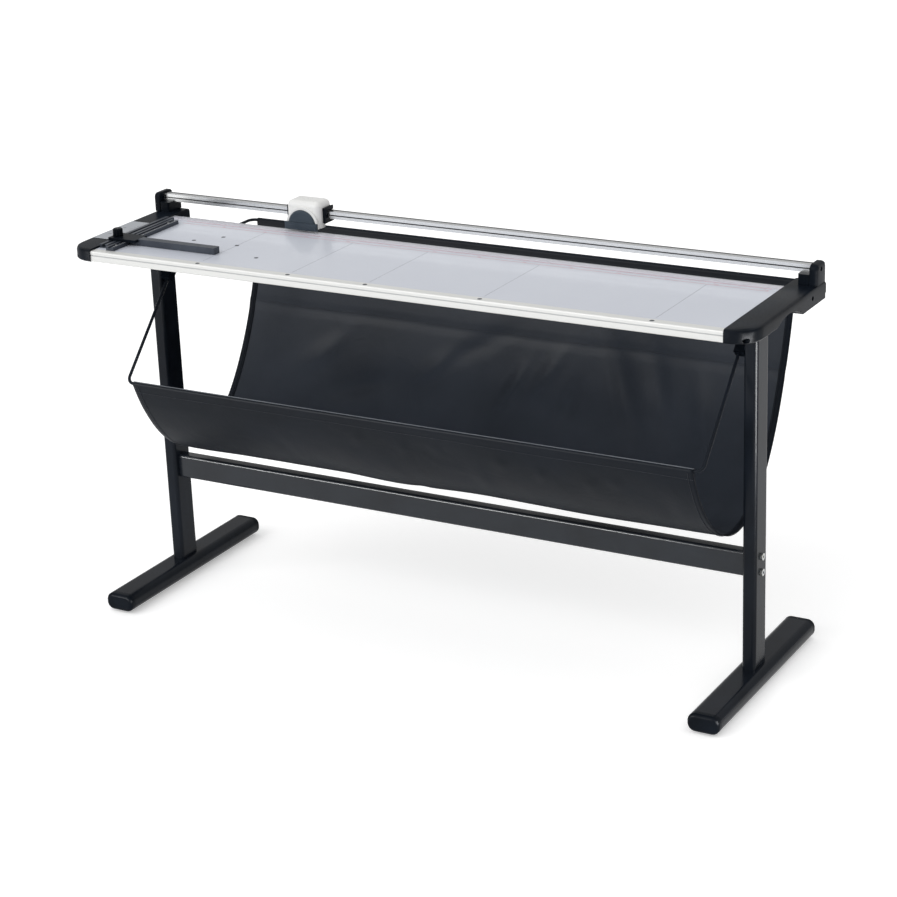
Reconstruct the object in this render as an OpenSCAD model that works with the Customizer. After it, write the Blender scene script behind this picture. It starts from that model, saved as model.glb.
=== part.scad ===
// Wide format rotary paper cutter on a floor stand, with a cloth catch bag under the table.
// Millimetres, +Z up, +X along the table, +Y from front to back.
// The origin is on the floor, below the middle of the whole cutter.

/* [Stand] */
// Distance between the centres of the two columns
column_spacing = 1330; // [1110:10:1570]
// Height of the table top above the floor
table_height = 775; // [740:1:832.5]
// Column width along the table
column_w = 28; // [24.5:0.5:33.5]
// Column depth from front to back
column_d = 56; // [52.5:0.5:74.5]
// Corner radius of the column tube
column_r = 7.5; // [4:0.5:9.5]
// Wall of the column and crossbar tubes
tube_wall = 2; // [1.5:0.1:3]
// Height of the crossbar tube
crossbar_h = 51; // [46.5:0.5:55.5]
// Depth of the crossbar tube
crossbar_d = 28; // [24.5:0.5:37.5]
// Corner radius of the crossbar tube
crossbar_r = 5.5; // [3.5:0.5:7.5]
// Distance from the table top down to the middle of the crossbar
crossbar_drop = 523; // [508:1:591.5]

/* [Feet] */
// Length of a foot, end caps included
foot_len = 490; // [425:5:590]
// Width of a foot
foot_w = 65; // [52:1:83.5]
// Height of a foot tube
foot_h = 37; // [33.5:0.5:46]
// Corner radius of the foot tube
foot_r = 16; // [7.5:0.5:16]
// Wall of the foot tube
foot_wall = 2.5; // [2:0.1:3]
// Length of a foot end cap outside the tube
foot_cap_len = 15; // [11:1:22.5]
// Radius on the outer edges of a foot end cap
foot_cap_round = 7.5; // [4:0.5:10.5]
// Length of the foot end cap's plug inside the tube
foot_plug_len = 17; // [9.5:0.5:22.5]
// Height of the floor glides
glide_h = 4; // [3:0.5:8]
// Diameter of the floor glides
glide_d = 28; // [18.5:0.5:37.5]
// Diameter of the stud on a floor glide
stud_d = 8; // [6:0.5:10]
// Distance of a glide's centre from the end of its foot
glide_inset = 56; // [46.5:0.5:84]

/* [Fasteners] */
// Diameter of the frame bolts
bolt_d = 8; // [6:0.5:10]
// Diameter of a frame bolt's head
bolt_head_d = 14; // [12:0.5:16]
// Height of a frame bolt's head
bolt_head_h = 4.5; // [4:0.5:6]
// Width across the corners of a frame bolt's key socket
bolt_key_d = 5.8; // [4:0.1:7]
// Distance between the two bolts of a column joint
bolt_pitch = 32; // [27.5:0.5:33]
// Diameter of the access holes under the column bolts
access_d = 18; // [17:0.5:20]
// Length of the threaded plugs in the tubes
plug_len = 28; // [18.5:0.5:37.5]
// Diameter of the machine screws
screw_d = 5; // [4:0.5:5.5]
// Diameter of a machine screw's head
screw_head_d = 9; // [8:0.5:10]
// Height of a machine screw's head
screw_head_h = 3; // [2:0.5:4]
// Diameter of the small trim screws
trim_screw_d = 3; // [2.5:0.1:3.5]
// Diameter of a trim screw's head
trim_head_d = 6; // [5:0.5:6.5]
// Height of a trim screw's head
trim_head_h = 2; // [1.5:0.1:2.2]

/* [Table] */
// Table length beyond the centre of each column
table_overhang = 23; // [22:1:55]
// Front edge of the table ahead of the columns' centre line
table_front = 206; // [189.5:0.5:235.5]
// Cut edge of the table behind the columns' centre line
cut_line = 90; // [83.5:0.5:116]
// Thickness of the table board
board_t = 11; // [7.5:0.5:14]
// Height of the front edge rail
edge_h = 22; // [20:0.5:27.5]
// Depth of the front edge rail
edge_d = 18.5; // [16.5:0.5:24]
// Radius on the front corners of the front edge rail
edge_r = 3; // [1:0.5:4]
// Height of the groove along the front edge rail
groove_h = 2.2; // [1.4:0.1:3.7]
// Depth of the groove along the front edge rail
groove_depth = 1.5; // [0.9:0.1:2.8]
// Depth of the groove below the table top
groove_drop = 7.5; // [5.5:0.5:11]
// Height of the rear edge rail
rear_edge_h = 26; // [24:0.5:31.5]
// Depth of the rear edge rail
rear_edge_d = 21.5; // [17:0.5:28]
// Width of the ledges that carry the board
ledge_w = 7.5; // [4.5:0.5:11]
// Thickness of the ledges that carry the board
ledge_t = 3; // [2:0.5:4]
// Wall of the hollow in an edge rail
edge_wall = 3; // [2:0.5:4]
// Height of the hollow in an edge rail
hollow_h = 5.5; // [3.5:0.5:6.5]
// Thickness of the bed knife
knife_t = 4; // [3:0.5:6]
// Height of the bed knife
knife_h = 15; // [13:0.5:19]
// Number of bed knife screws
knife_screws = 7; // [4:1:9]
// Distance of the first knife screw from the table end
knife_screw_inset = 51; // [28:1:83.5]
// Width of a cross member under the board
cross_w = 41; // [33.5:0.5:43]
// Thickness of a column's top plate
top_plate_t = 4; // [3:0.5:6]
// Length of a column's top plate
top_plate_l = 111; // [102:1:114.5]
// Length of the top plate's tongue inside the column
tongue_len = 22; // [14:1:24]
// Width of the clear paper clamp strip
strip_w = 22; // [14.5:0.5:27.5]
// Thickness of the clear paper clamp strip
strip_t = 1.5; // [1:0.1:1.8]
// Length of the clamp strip tucked into each end block
strip_tuck = 5.5; // [3:0.5:8]

/* [End blocks and rail] */
// Width of an end block
block_w = 56.5; // [53.5:0.5:66.5]
// Depth of an end block below the table top
block_drop = 22; // [21:1:27.5]
// Height of an end block above the table top
block_proud = 4; // [3:0.5:8]
// Length of the curved nose of an end block
nose_len = 61; // [37:1:111]
// Bluntness of the nose, 2 for an ellipse
nose_power = 2.5; // [2:0.1:4]
// Radius along the upper edge of an end block
block_round = 6.5; // [3:0.5:7.5]
// Depth of the boss under the rear of an end block
boss_h = 7.5; // [4:0.5:11]
// Rise of the hand relief under the middle of an end block
relief_rise = 13; // [5.5:0.5:15]
// Length of the hand relief under an end block
relief_len = 111; // [74:2:129.5]
// Distance of a rail post from the table end
post_inset = 18.5; // [13:0.5:22]
// Width of a rail post along the table
post_w = 23; // [18.5:0.5:26]
// Depth of a rail post
post_d = 48; // [42.5:0.5:55.5]
// Corner radius of a rail post
post_r = 4; // [2:0.5:8]
// Distance between the two screws of a rail post
post_screw_pitch = 26; // [20.5:0.5:29.5]
// Height of a cheek above the rail
cheek_over = 4; // [2:0.5:8]
// Radius on the upper corners of a cheek
cheek_r = 11; // [7.5:0.5:20.5]
// Distance from the cut edge back to the middle of the rail
rail_offset = 28.5; // [26.5:0.5:37]
// Height of the rail's underside above the table top
rail_lift = 25; // [24:0.5:29.5]
// Depth of the rail from front to back
rail_d = 18.5; // [16.5:0.5:24]
// Height of the rail
rail_h = 15; // [13:0.5:19]
// Width of the running grooves in the rail
run_groove_w = 4; // [3:0.5:5]
// Depth of the running grooves in the rail
run_groove_depth = 3; // [2:0.5:3.5]
// Distance of the running grooves behind the rail's middle
run_groove_back = 4; // [3:0.5:5]
// Height of the line groove in the rail's front face
line_groove_h = 2.4; // [1.5:0.1:3]
// Depth of the line groove in the rail's front face
line_groove_depth = 2; // [1:0.1:2.5]

/* [Cutting head] */
// Rest position of the cutting head along the table
head_x = -365; // [-460:5:460]
// Length of the carriage along the rail
carriage_len = 85; // [83:1:101.5]
// Thickness of the carriage's front web
web_t = 8.5; // [7:0.5:8.5]
// Thickness of the carriage's flanges
flange_t = 5.5; // [4.5:0.5:6.5]
// Reach of the carriage's flanges behind the rail
flange_over = 4; // [2:0.5:6]
// Thickness of the slide liners
liner_t = 2; // [1.5:0.1:3]
// Thickness of the end wipers
wiper_t = 3; // [2:0.5:4]
// Width of the white housing
housing_w = 79.5; // [77.5:0.5:81.5]
// Height of the white housing's top above the table
housing_top = 62; // [61:0.5:74]
// Height of the white housing's lower edge above the table
housing_gap = 7.5; // [5.5:0.5:9.5]
// Wall of the white housing
housing_wall = 2.5; // [2:0.1:3]
// Radius on the white housing's upper corners
housing_r = 12; // [7.5:0.5:14]
// Radius of the half-round blade cover
cover_r = 32; // [29.5:0.5:34.5]
// Depth of the half-round blade cover
cover_d = 8.5; // [6.5:0.5:11.5]
// Wall of the blade cover
cover_wall = 2.5; // [2:0.1:3]
// Width of the cover's straight skirt
skirt_w = 76; // [70.5:0.5:79.5]
// Height of the cover's straight skirt
skirt_h = 15; // [11:0.5:17]
// Width of the white bezel around the cover
bezel_w = 5.5; // [3.5:0.5:7.5]
// Depth of the white bezel around the cover
bezel_d = 4; // [2:0.5:6]
// Radius of the round blade
blade_r = 26; // [24:0.5:27]
// Thickness of the round blade
blade_t = 1; // [0.8:0.1:1.2]
// Depth of the round blade below the table top
blade_dip = 2.5; // [1.5:0.1:3]
// Diameter of the blade axle
axle_d = 6; // [5:0.5:7]
// Outer diameter of the blade hub's flanges
hub_d = 18.5; // [16.5:0.5:20.5]
// Diameter of the blade hub's spigot
spigot_d = 9.5; // [8.5:0.5:10.5]

/* [Backstop] */
// Width of the gauge rail
gauge_w = 20.5; // [18.5:0.5:24]
// Height of the gauge rail and the side ruler
gauge_h = 8; // [7.5:0.5:10]
// Length of the gauge rail
gauge_len = 231; // [220:5:240]
// Width of the side ruler
ruler_w = 18.5; // [15:0.5:24]
// Length of the side ruler
ruler_len = 226; // [185:2:241]
// Gap between the side ruler and the gauge rail
ruler_gap = 5; // [3:0.5:8]
// Rest position of the backstop ahead of the columns' centre line
backstop_front = 126; // [102:1:148]
// Length of the backstop arm beyond the slider
arm_len = 185; // [130:5:295]
// Width of the backstop arm
arm_w = 18.5; // [15:0.5:24]
// Length of the slider along the gauge rail
slider_len = 41; // [31.5:0.5:46.5]
// Thickness of the slider
slider_t = 5.5; // [4.5:0.5:7.5]
// Diameter of the clamp knob
knob_d = 20.5; // [17:0.5:24]
// Height of the clamp knob
knob_h = 15; // [11:1:19]
// Number of flutes round the clamp knob
knob_flutes = 10; // [6:1:12]
// Front end of the side scale plate ahead of the columns' centre line
plate_front = 128; // [111.5:0.5:139]
// Length of the side scale plate
plate_len = 135; // [111:1:143.5]
// Thickness of the side scale plate
plate_t = 1.5; // [1:0.1:2.5]

/* [Catch bag] */
// Diameter of the bag wires
wire_d = 6.5; // [4.5:0.5:8.5]
// Bend radius at the corners of the bag wires
wire_bend = 15; // [11:1:22.5]
// Distance of the bag wires from the column faces
wire_gap = 12; // [9:0.5:15]
// Front hem ahead of the columns' centre line
front_hem = 185; // [166.5:0.5:203.5]
// Distance from the table top down to the front hem
front_hem_drop = 279; // [258.5:0.5:286.5]
// Rear hem behind the columns' centre line
rear_hem = 301; // [259.5:0.5:333.5]
// Distance from the table top down to the rear hem
rear_hem_drop = 55.5; // [52:0.5:63]
// Distance from the table top down to the front wire's sockets
front_socket_drop = 90.5; // [88.5:0.5:109]
// Slackness of the cloth: the radius of its curve at the lowest point
bag_slack = 134; // [133:1:157]
// Thickness of the cloth with its lining
bag_t = 2; // [1.2:0.1:3.2]
// Grip length of a wire socket
socket_grip = 18.5; // [13:0.5:20.5]
// Height of a wire socket
socket_h = 18.5; // [16.5:0.5:20.5]

/* [Hidden] */
$fn = 64;

// Colours
frame_black = "#1b1c20";
moulded_black = "#24262b";
aluminium = "#d9dadb";
steel = "#b9bbbe";
board_grey = "#c9cbd6";
cloth_black = "#2b2d31";

// Clearances: a pin or screw in its hole, a plug in its tube, and sliding or rolling faces
fit = 0.05;
plug_clear = 0.2;
slide_clear = 0.15;
wipe_clear = 0.5;
rest_clear = 0.2;
// Cuts run this far past the faces that they open
cut = 1;

// Stand
column_x = column_spacing / 2;
column_in = column_x - column_w / 2;
column_out = column_x + column_w / 2;
foot_mid = glide_h + foot_h / 2;
foot_top = glide_h + foot_h;
// The round on a cap's outer edge stays inside its corners
cap_edge = min(foot_cap_round, foot_r - 0.5);
glide_y = foot_len / 2 - glide_inset;
column_top = table_height - edge_h - top_plate_t;
crossbar_z = table_height - crossbar_drop;
stud_over = 3;
bolt_short = 4;
key_depth = 2.5;

// Table
table_x = column_x + table_overhang;
table_under = table_height - edge_h;
board_under = table_height - board_t;
board_front = edge_d - table_front;
knife_front = cut_line - knife_t;
board_rear = knife_front - rear_edge_d;
edge_port_z = table_height - 16;
rear_port_z = table_height - 13;
edge_port_y = edge_d / 2 - table_front;
rear_port_y = knife_front - rear_edge_d / 2;
port_len = 30;
cross_wall = 2;
plate_screw_x = cross_w / 2 - 8;
plate_screw_y = top_plate_l / 2 - 15;
knife_screw_z = table_height - 10;
knife_screw_len = 10;
strip_back = 1;
strip_rear = knife_front - strip_back;
strip_under = table_height + rest_clear;

// End blocks, posts and rail
rail_y = cut_line + rail_offset;
rail_front = rail_y - rail_d / 2;
rail_rear = rail_y + rail_d / 2;
rail_under = table_height + rail_lift;
rail_top = rail_under + rail_h;
rail_mid = rail_under + rail_h / 2;
groove_y = rail_y + run_groove_back;
block_top = table_height + block_proud;
block_under = table_height - block_drop;
block_rear = rail_y + post_d / 2;
block_edge = 2.5;
boss_front = rail_y - 104;
relief_r = (relief_len * relief_len / 4 + relief_rise * relief_rise) / (2 * relief_rise);
relief_y = boss_front - relief_len / 2;
relief_wall = 13;
nose_y = nose_len - table_front - block_edge;
post_face = table_x + post_inset;
cheek_face = post_face + post_w;
cheek_out = table_x + block_w;
cheek_top = rail_top + cheek_over;
end_seat = table_x + 11;
rail_port_y = rail_y - 2;
post_screw_bite = 14;
seat_depth = 6;

// Cutting head
web_back = rail_front - wipe_clear;
web_front = web_back - web_t;
upper_liner = rail_top + slide_clear;
lower_liner = rail_under - slide_clear;
carriage_top = upper_liner + liner_t + flange_t;
carriage_under = lower_liner - liner_t - flange_t;
carriage_rear = rail_rear + flange_over;
blade_front = cut_line + 0.1;
blade_rear = blade_front + blade_t;
blade_z = table_height - blade_dip + blade_r;
ring_t = 2;
ring_front = blade_front - ring_t;
flange_rear = blade_rear + 3;
spring_front = flange_rear + 0.3;
spring_h = 1.7;
spring_t = 0.6;
spring_rear = spring_front + spring_h;
axle_head_t = 2;
axle_front = ring_front - 0.2;
housing_under = table_height + housing_gap;
housing_roof = table_height + housing_top;
housing_front = blade_front - 4.1;
housing_rear = carriage_rear + 6;
cover_z = table_height + 13;
cover_front = housing_front - cover_d;
skirt_under = block_top + wipe_clear;
rib_x = 26.5;
rib_back = housing_rear - housing_wall - wipe_clear;
rib_depth = 8;
rib_h = 5;
housing_screw_x = 20;
housing_screw_z = carriage_top + rib_h / 2;

// Backstop
gauge_top = table_height + gauge_h;
gauge_out = table_x - 2;
gauge_in = gauge_out - gauge_w;
gauge_mid = (gauge_out + gauge_in) / 2;
gauge_rear = strip_rear - strip_w - 8;
gauge_front = gauge_rear - gauge_len;
gauge_screws = [max(gauge_front, board_front) + 10, gauge_rear - 10];
plate_side = 6;
ruler_out = gauge_in - ruler_gap;
ruler_in = ruler_out - ruler_w;
ruler_front = 17 - table_front;
slot_neck = screw_d + 1.4;
slot_w = 11;
slot_floor = table_height + 2;
slot_roof = gauge_top - 2.8;
slider_under = gauge_top + rest_clear;
slider_top = slider_under + slider_t;
lap_len = 21;
arm_start = ruler_in - 2;
arm_under = table_height + 2 * rest_clear;
ruler_groove_w = 7;
ruler_groove_depth = 3;
trim_bite = 8;

// Catch bag
front_hem_z = table_height - front_hem_drop;
rear_hem_z = table_height - rear_hem_drop;
front_socket_z = table_height - front_socket_drop;
wire_x = column_in - wire_gap;
socket_len = wire_gap + wire_d / 2 + 4.5;
socket_tail = 16;
front_tip_y = -8;
rear_tip_y = -5;
arm_dy = front_tip_y + front_hem;
arm_dz = front_socket_z - front_hem_z;
arm_tilt = atan2(arm_dz, arm_dy);
front_arm = norm([arm_dy, arm_dz]);
rear_arm = rear_hem - rear_tip_y;
hem_bore = wire_d / 2 + 0.3;
hem_r = hem_bore + bag_t;
bag_half = wire_x - wire_bend - 2;
bag_steps = 36;
front_screw = [front_tip_y + cos(arm_tilt) * socket_tail / 2, front_socket_z + sin(arm_tilt) * socket_tail / 2];
rear_screw = [rear_tip_y - socket_tail / 2, rear_hem_z];

// The whole cutter is moved so that the middle of its depth is at the origin
front_reach = max(foot_len / 2, table_front + block_edge);
rear_reach = max(foot_len / 2, rear_hem + hem_r, block_rear);
stand_y = (front_reach - rear_reach) / 2;

// The cloth hangs in a catenary through both hems
function sinh(x) = (exp(x) - exp(-x)) / 2;
function cosh(x) = (exp(x) + exp(-x)) / 2;
function asinh(x) = ln(x + sqrt(x * x + 1));
bag_span = rear_hem + front_hem;
bag_rise = rear_hem_z - front_hem_z;
bag_low_y = (rear_hem - front_hem) / 2
    - bag_slack * asinh(bag_rise / (2 * bag_slack * sinh(bag_span / (2 * bag_slack))));
bag_low_z = front_hem_z - bag_slack * (cosh((front_hem + bag_low_y) / bag_slack) - 1);
function bag_y(i) = bag_start + (bag_end - bag_start) * i / bag_steps;
function bag_z(y) = bag_low_z + bag_slack * (cosh((y - bag_low_y) / bag_slack) - 1);
function bag_slope(y) = atan(sinh((y - bag_low_y) / bag_slack));
function bag_point(i, side) = let (y = bag_y(i), a = bag_slope(y))
    [y - side * sin(a) * bag_t / 2, bag_z(y) + side * cos(a) * bag_t / 2];
// The cloth starts and ends inside the walls of its hems
hem_mid = hem_bore + bag_t / 2;
bag_start = hem_mid * cos(bag_slope(-front_hem)) - front_hem;
bag_end = rear_hem - hem_mid * cos(bag_slope(rear_hem));

// Shared shapes
module on_stand() translate([0, stand_y, 0]) children();
module on_side(side) mirror([side < 0 ? 1 : 0, 0, 0]) children();
module along_x(len) rotate([90, 0, 90]) linear_extrude(len, center = true) children();
module along_y(len) rotate([90, 0, 0]) linear_extrude(len, center = true) children();
module rod_x(d, x0, x1) translate([x0, 0, 0]) rotate([0, 90, 0]) cylinder(d = d, h = x1 - x0);
module rod_y(d, y0, y1) translate([0, y0, 0]) rotate([-90, 0, 0]) cylinder(d = d, h = y1 - y0);
module rod_z(d, z0, z1) translate([0, 0, z0]) cylinder(d = d, h = z1 - z0);
module box(x, y, z) translate([x[0], y[0], z[0]]) cube([x[1] - x[0], y[1] - y[0], z[1] - z[0]]);
module area(p, q) translate([p[0], q[0]]) square([p[1] - p[0], q[1] - q[0]]);

module round_rect(w, h, r) {
    square([w - 2 * r, h], center = true);
    square([w, h - 2 * r], center = true);
    for (x = [-1, 1], y = [-1, 1])
        translate([x * (w / 2 - r), y * (h / 2 - r)]) circle(r);
}

module tube_outline(w, h, r, wall) difference() {
    round_rect(w, h, r);
    round_rect(w - 2 * wall, h - 2 * wall, r - wall);
}

module plug_outline(w, h, r, wall) {
    gap = wall + plug_clear;
    round_rect(w - 2 * gap, h - 2 * gap, r - wall);
}

// Stand
module foot_tube(side) color(frame_black) difference() {
    translate([side * column_x, 0, foot_mid]) along_y(foot_len - 2 * foot_cap_len)
        tube_outline(foot_w, foot_h, foot_r, foot_wall);
    for (end = [-1, 1]) {
        translate([side * column_x, end * bolt_pitch / 2, 0]) {
            rod_z(bolt_d + 2 * fit, foot_mid, foot_top + cut);
            rod_z(access_d, 0, foot_mid);
        }
        translate([side * column_x, end * glide_y, 0]) rod_z(stud_d + 2 * fit, 0, foot_mid);
    }
}

module cap_corner() rotate([-90, 0, 0]) rotate_extrude() intersection() {
    round_rect(2 * foot_r, 2 * foot_cap_len, cap_edge);
    area([0, 2 * foot_r], [0, 2 * foot_cap_len]);
}

module foot_cap() {
    intersection() {
        union() {
            along_x(foot_w - 2 * foot_r) round_rect(2 * foot_cap_len, foot_h, cap_edge);
            linear_extrude(foot_h - 2 * foot_r, center = true) round_rect(foot_w, 2 * foot_cap_len, cap_edge);
            for (x = [-1, 1], z = [-1, 1])
                translate([x * (foot_w / 2 - foot_r), 0, z * (foot_h / 2 - foot_r)]) cap_corner();
        }
        box([-foot_w, foot_w], [0, 2 * foot_cap_len], [-foot_h, foot_h]);
    }
    translate([0, (cut - foot_plug_len) / 2, 0]) along_y(foot_plug_len + cut)
        plug_outline(foot_w, foot_h, foot_r, foot_wall);
}

module foot_end_caps() color(moulded_black)
    for (side = [-1, 1], turn = [0, 180])
        translate([side * column_x, 0, foot_mid]) rotate([0, 0, turn])
            translate([0, foot_len / 2 - foot_cap_len, 0]) foot_cap();

module floor_glides() color(moulded_black)
    for (side = [-1, 1], end = [-1, 1]) translate([side * column_x, end * glide_y, 0]) {
        rod_z(glide_d, 0, glide_h);
        rod_z(stud_d, 0, glide_h + foot_wall + stud_over);
    }

module column(side) color(frame_black) on_side(side) difference() {
    translate([column_x, 0, foot_top]) linear_extrude(column_top - foot_top)
        tube_outline(column_w, column_d, column_r, tube_wall);
    for (end = [-1, 1]) translate([0, 0, crossbar_z + end * bolt_pitch / 2])
        rod_x(bolt_d + 2 * fit, column_in - cut, column_out + cut);
    for (at = [front_screw, rear_screw]) translate([0, at[0], at[1]])
        rod_x(screw_d + 2 * fit, column_in - cut, column_in + tube_wall + cut);
}

module column_plugs() color(steel) for (side = [-1, 1]) difference() {
    translate([side * column_x, 0, foot_top]) linear_extrude(plug_len)
        plug_outline(column_w, column_d, column_r, tube_wall);
    for (end = [-1, 1]) translate([side * column_x, end * bolt_pitch / 2, 0])
        rod_z(bolt_d + 2 * fit, foot_top - cut, foot_top + plug_len + cut);
}

module column_base_bolts() color(steel) for (side = [-1, 1], end = [-1, 1])
    translate([side * column_x, end * bolt_pitch / 2, 0]) {
        seat = foot_top - foot_wall;
        rod_z(bolt_head_d, seat - bolt_head_h, seat);
        rod_z(bolt_d, seat - bolt_head_h, foot_top + plug_len - bolt_short);
    }

module crossbar() color(frame_black) translate([0, 0, crossbar_z]) along_x(2 * column_in)
    tube_outline(crossbar_d, crossbar_h, crossbar_r, tube_wall);

module crossbar_plugs() color(steel) for (side = [-1, 1]) on_side(side) difference() {
    translate([column_in - plug_len / 2, 0, crossbar_z]) along_x(plug_len)
        plug_outline(crossbar_d, crossbar_h, crossbar_r, tube_wall);
    for (end = [-1, 1]) translate([0, 0, crossbar_z + end * bolt_pitch / 2])
        rod_x(bolt_d + 2 * fit, column_in - plug_len - cut, column_in + cut);
}

module crossbar_bolts() color(steel) for (side = [-1, 1], end = [-1, 1])
    on_side(side) translate([0, 0, crossbar_z + end * bolt_pitch / 2]) difference() {
        union() {
            rod_x(bolt_head_d, column_out, column_out + bolt_head_h);
            rod_x(bolt_d, column_in - plug_len + bolt_short, column_out + cut);
        }
        translate([column_out + bolt_head_h - key_depth, 0, 0]) rotate([0, 90, 0])
            cylinder(d = bolt_key_d, h = key_depth + cut, $fn = 6);
    }

module top_plate(side) color(frame_black) translate([side * column_x, 0, 0]) difference() {
    union() {
        box([-cross_w / 2, cross_w / 2], [-top_plate_l / 2, top_plate_l / 2], [column_top, table_under]);
        translate([0, 0, column_top - tongue_len]) linear_extrude(tongue_len + cut)
            plug_outline(column_w, column_d, column_r, tube_wall);
    }
    plate_screw_holes(column_top - cut, table_under + cut);
}

module plate_screw_holes(z0, z1) for (x = [-1, 1], y = [-1, 1])
    translate([x * plate_screw_x, y * plate_screw_y, 0]) rod_z(screw_d + 2 * fit, z0, z1);

module top_plate_screws() color(steel) for (side = [-1, 1], x = [-1, 1], y = [-1, 1])
    translate([side * column_x + x * plate_screw_x, y * plate_screw_y, 0]) {
        rod_z(screw_head_d, column_top - screw_head_h, column_top);
        rod_z(screw_d, column_top - screw_head_h, table_under + cross_wall + bolt_short);
    }

// Table
module cross_member(side) color(frame_black) translate([side * column_x, 0, 0]) difference() {
    front = board_front + ledge_w;
    rear = board_rear - ledge_w;
    box([-cross_w / 2, cross_w / 2], [front, rear], [table_under, board_under]);
    box([cross_wall - cross_w / 2, cross_w / 2 - cross_wall], [front - cut, rear + cut],
        [table_under + cross_wall, board_under - cross_wall]);
    plate_screw_holes(table_under - cut, table_under + cross_wall + cut);
}

module table_board() color(board_grey) difference() {
    box([-table_x, table_x], [board_front, board_rear], [board_under, table_height]);
    trim_screw_places() rod_z(trim_screw_d + 2 * fit, table_height - trim_bite - cut, table_height + cut);
}

module front_edge_outline() difference() {
    union() {
        translate([edge_port_y, table_height - edge_h / 2]) round_rect(edge_d, edge_h, edge_r);
        area([edge_port_y, board_front], [table_under, table_height]);
        area([board_front - cut, board_front + ledge_w], [board_under - ledge_t, board_under]);
    }
    area([-table_front - cut, groove_depth - table_front],
        [table_height - groove_drop - groove_h, table_height - groove_drop]);
    area([edge_wall + groove_depth - table_front, board_front - edge_wall],
        [table_height - edge_wall - hollow_h, table_height - edge_wall]);
}

module front_edge_rail() color(aluminium) difference() {
    along_x(2 * table_x) front_edge_outline();
    end_ports(edge_port_y, edge_port_z);
}

module rear_edge_outline() difference() {
    union() {
        area([board_rear, knife_front], [table_height - rear_edge_h, table_height]);
        area([board_rear - ledge_w, board_rear + cut], [board_under - ledge_t, board_under]);
    }
    area([board_rear + edge_wall, knife_front - edge_wall],
        [table_height - rear_edge_h + edge_wall, table_height - rear_edge_h + edge_wall + hollow_h]);
}

module rear_edge_rail() color(aluminium) difference() {
    along_x(2 * table_x) rear_edge_outline();
    end_ports(rear_port_y, rear_port_z);
    knife_screw_places() rod_y(trim_screw_d + 2 * fit, knife_front - knife_screw_len, knife_front + cut);
}

module end_ports(y, z) for (side = [-1, 1]) on_side(side)
    translate([0, y, z]) rod_x(screw_d + 2 * fit, table_x - port_len, table_x + cut);

module knife_screw_places() {
    first = table_x - knife_screw_inset;
    for (i = [0 : knife_screws - 1])
        translate([2 * first * i / (knife_screws - 1) - first, 0, knife_screw_z]) children();
}

module bed_knife() color(steel) difference() {
    box([-table_x, table_x], [knife_front, cut_line], [table_height - knife_h, table_height]);
    knife_screw_places() {
        rod_y(trim_screw_d + 2 * fit, knife_front - cut, cut_line);
        rod_y(trim_head_d + 2 * fit, cut_line - trim_head_h, cut_line + cut);
    }
}

module bed_knife_screws() color(steel) knife_screw_places() {
    rod_y(trim_head_d, cut_line - trim_head_h, cut_line);
    rod_y(trim_screw_d, knife_front - knife_screw_len + cut, cut_line);
}

module paper_clamp_strip() color("#dfe6ee") box([-table_x - strip_tuck, table_x + strip_tuck],
    [strip_rear - strip_w, strip_rear], [strip_under, strip_under + strip_t]);

// End blocks and rail. The outline is seen from above, drawn in by inset
function nose_point(t, inset) = [(block_w - inset) * pow(cos(t), 2 / nose_power),
    nose_y - (nose_len - inset) * pow(sin(t), 2 / nose_power)];
function block_outline(inset) = concat([[0, block_rear - inset]],
    [for (t = [90 : -6 : 0]) nose_point(t, inset)], [[block_w - inset, block_rear - inset]]);

module block_layer(z, inset) translate([table_x, 0, z]) linear_extrude(0.01) polygon(block_outline(inset));

module end_block_body() hull() {
    block_layer(block_under, block_edge);
    block_layer(block_under + block_edge, 0);
    block_layer(block_top - block_round, 0);
    block_layer(block_top - 0.3 * block_round, 0.3 * block_round);
    block_layer(block_top - 0.01, block_round);
}

module end_block(side) color(moulded_black) on_side(side) difference() {
    union() {
        end_block_body();
        translate([table_x + block_w / 2 + 2, (boss_front + block_rear) / 2, block_under - boss_h])
            linear_extrude(boss_h + 2 * block_edge)
            round_rect(block_w - 4, block_rear - boss_front, post_r);
    }
    box([table_x - cut, table_x + strip_tuck + rest_clear],
        [strip_rear - strip_w - slide_clear, strip_rear + slide_clear],
        [strip_under - slide_clear, strip_under + strip_t + slide_clear]);
    for (at = [[edge_port_y, edge_port_z], [rear_port_y, rear_port_z]]) translate([0, at[0], at[1]]) {
        rod_x(screw_d + 2 * fit, table_x - cut, end_seat);
        rod_x(screw_head_d + 2 * plug_clear, end_seat, cheek_out + cut);
    }
    translate([0, relief_y, block_under + relief_rise - relief_r])
        rod_x(2 * relief_r, table_x + relief_wall, cheek_out + cut);
    post_screw_places() {
        rod_z(screw_d + 2 * fit, block_under, block_top + cut);
        rod_z(screw_head_d + 2 * plug_clear, block_under - boss_h - cut, block_under);
    }
    if (side < 0) box([table_x + plate_side - plug_clear, cheek_out - plate_side + plug_clear],
        [-plate_front - plug_clear, plate_len - plate_front + plug_clear],
        [block_top - plate_t, block_top + cut]);
}

module end_block_screws() color(steel) for (side = [-1, 1]) on_side(side)
    for (at = [[edge_port_y, edge_port_z], [rear_port_y, rear_port_z]]) translate([0, at[0], at[1]]) {
        rod_x(screw_head_d, end_seat, end_seat + screw_head_h);
        rod_x(screw_d, table_x - port_len + bolt_short, end_seat + cut);
    }

module post_screw_places() for (end = [-1, 1])
    translate([post_face + post_w / 2, rail_y + end * post_screw_pitch / 2, 0]) children();

module rail_post(side) color(moulded_black) on_side(side) difference() {
    translate([post_face + post_w / 2, rail_y, block_top]) linear_extrude(rail_under - block_top)
        round_rect(post_w, post_d, post_r);
    post_screw_places() rod_z(screw_d + 2 * fit, block_top - cut, block_top + post_screw_bite + cut);
}

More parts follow.
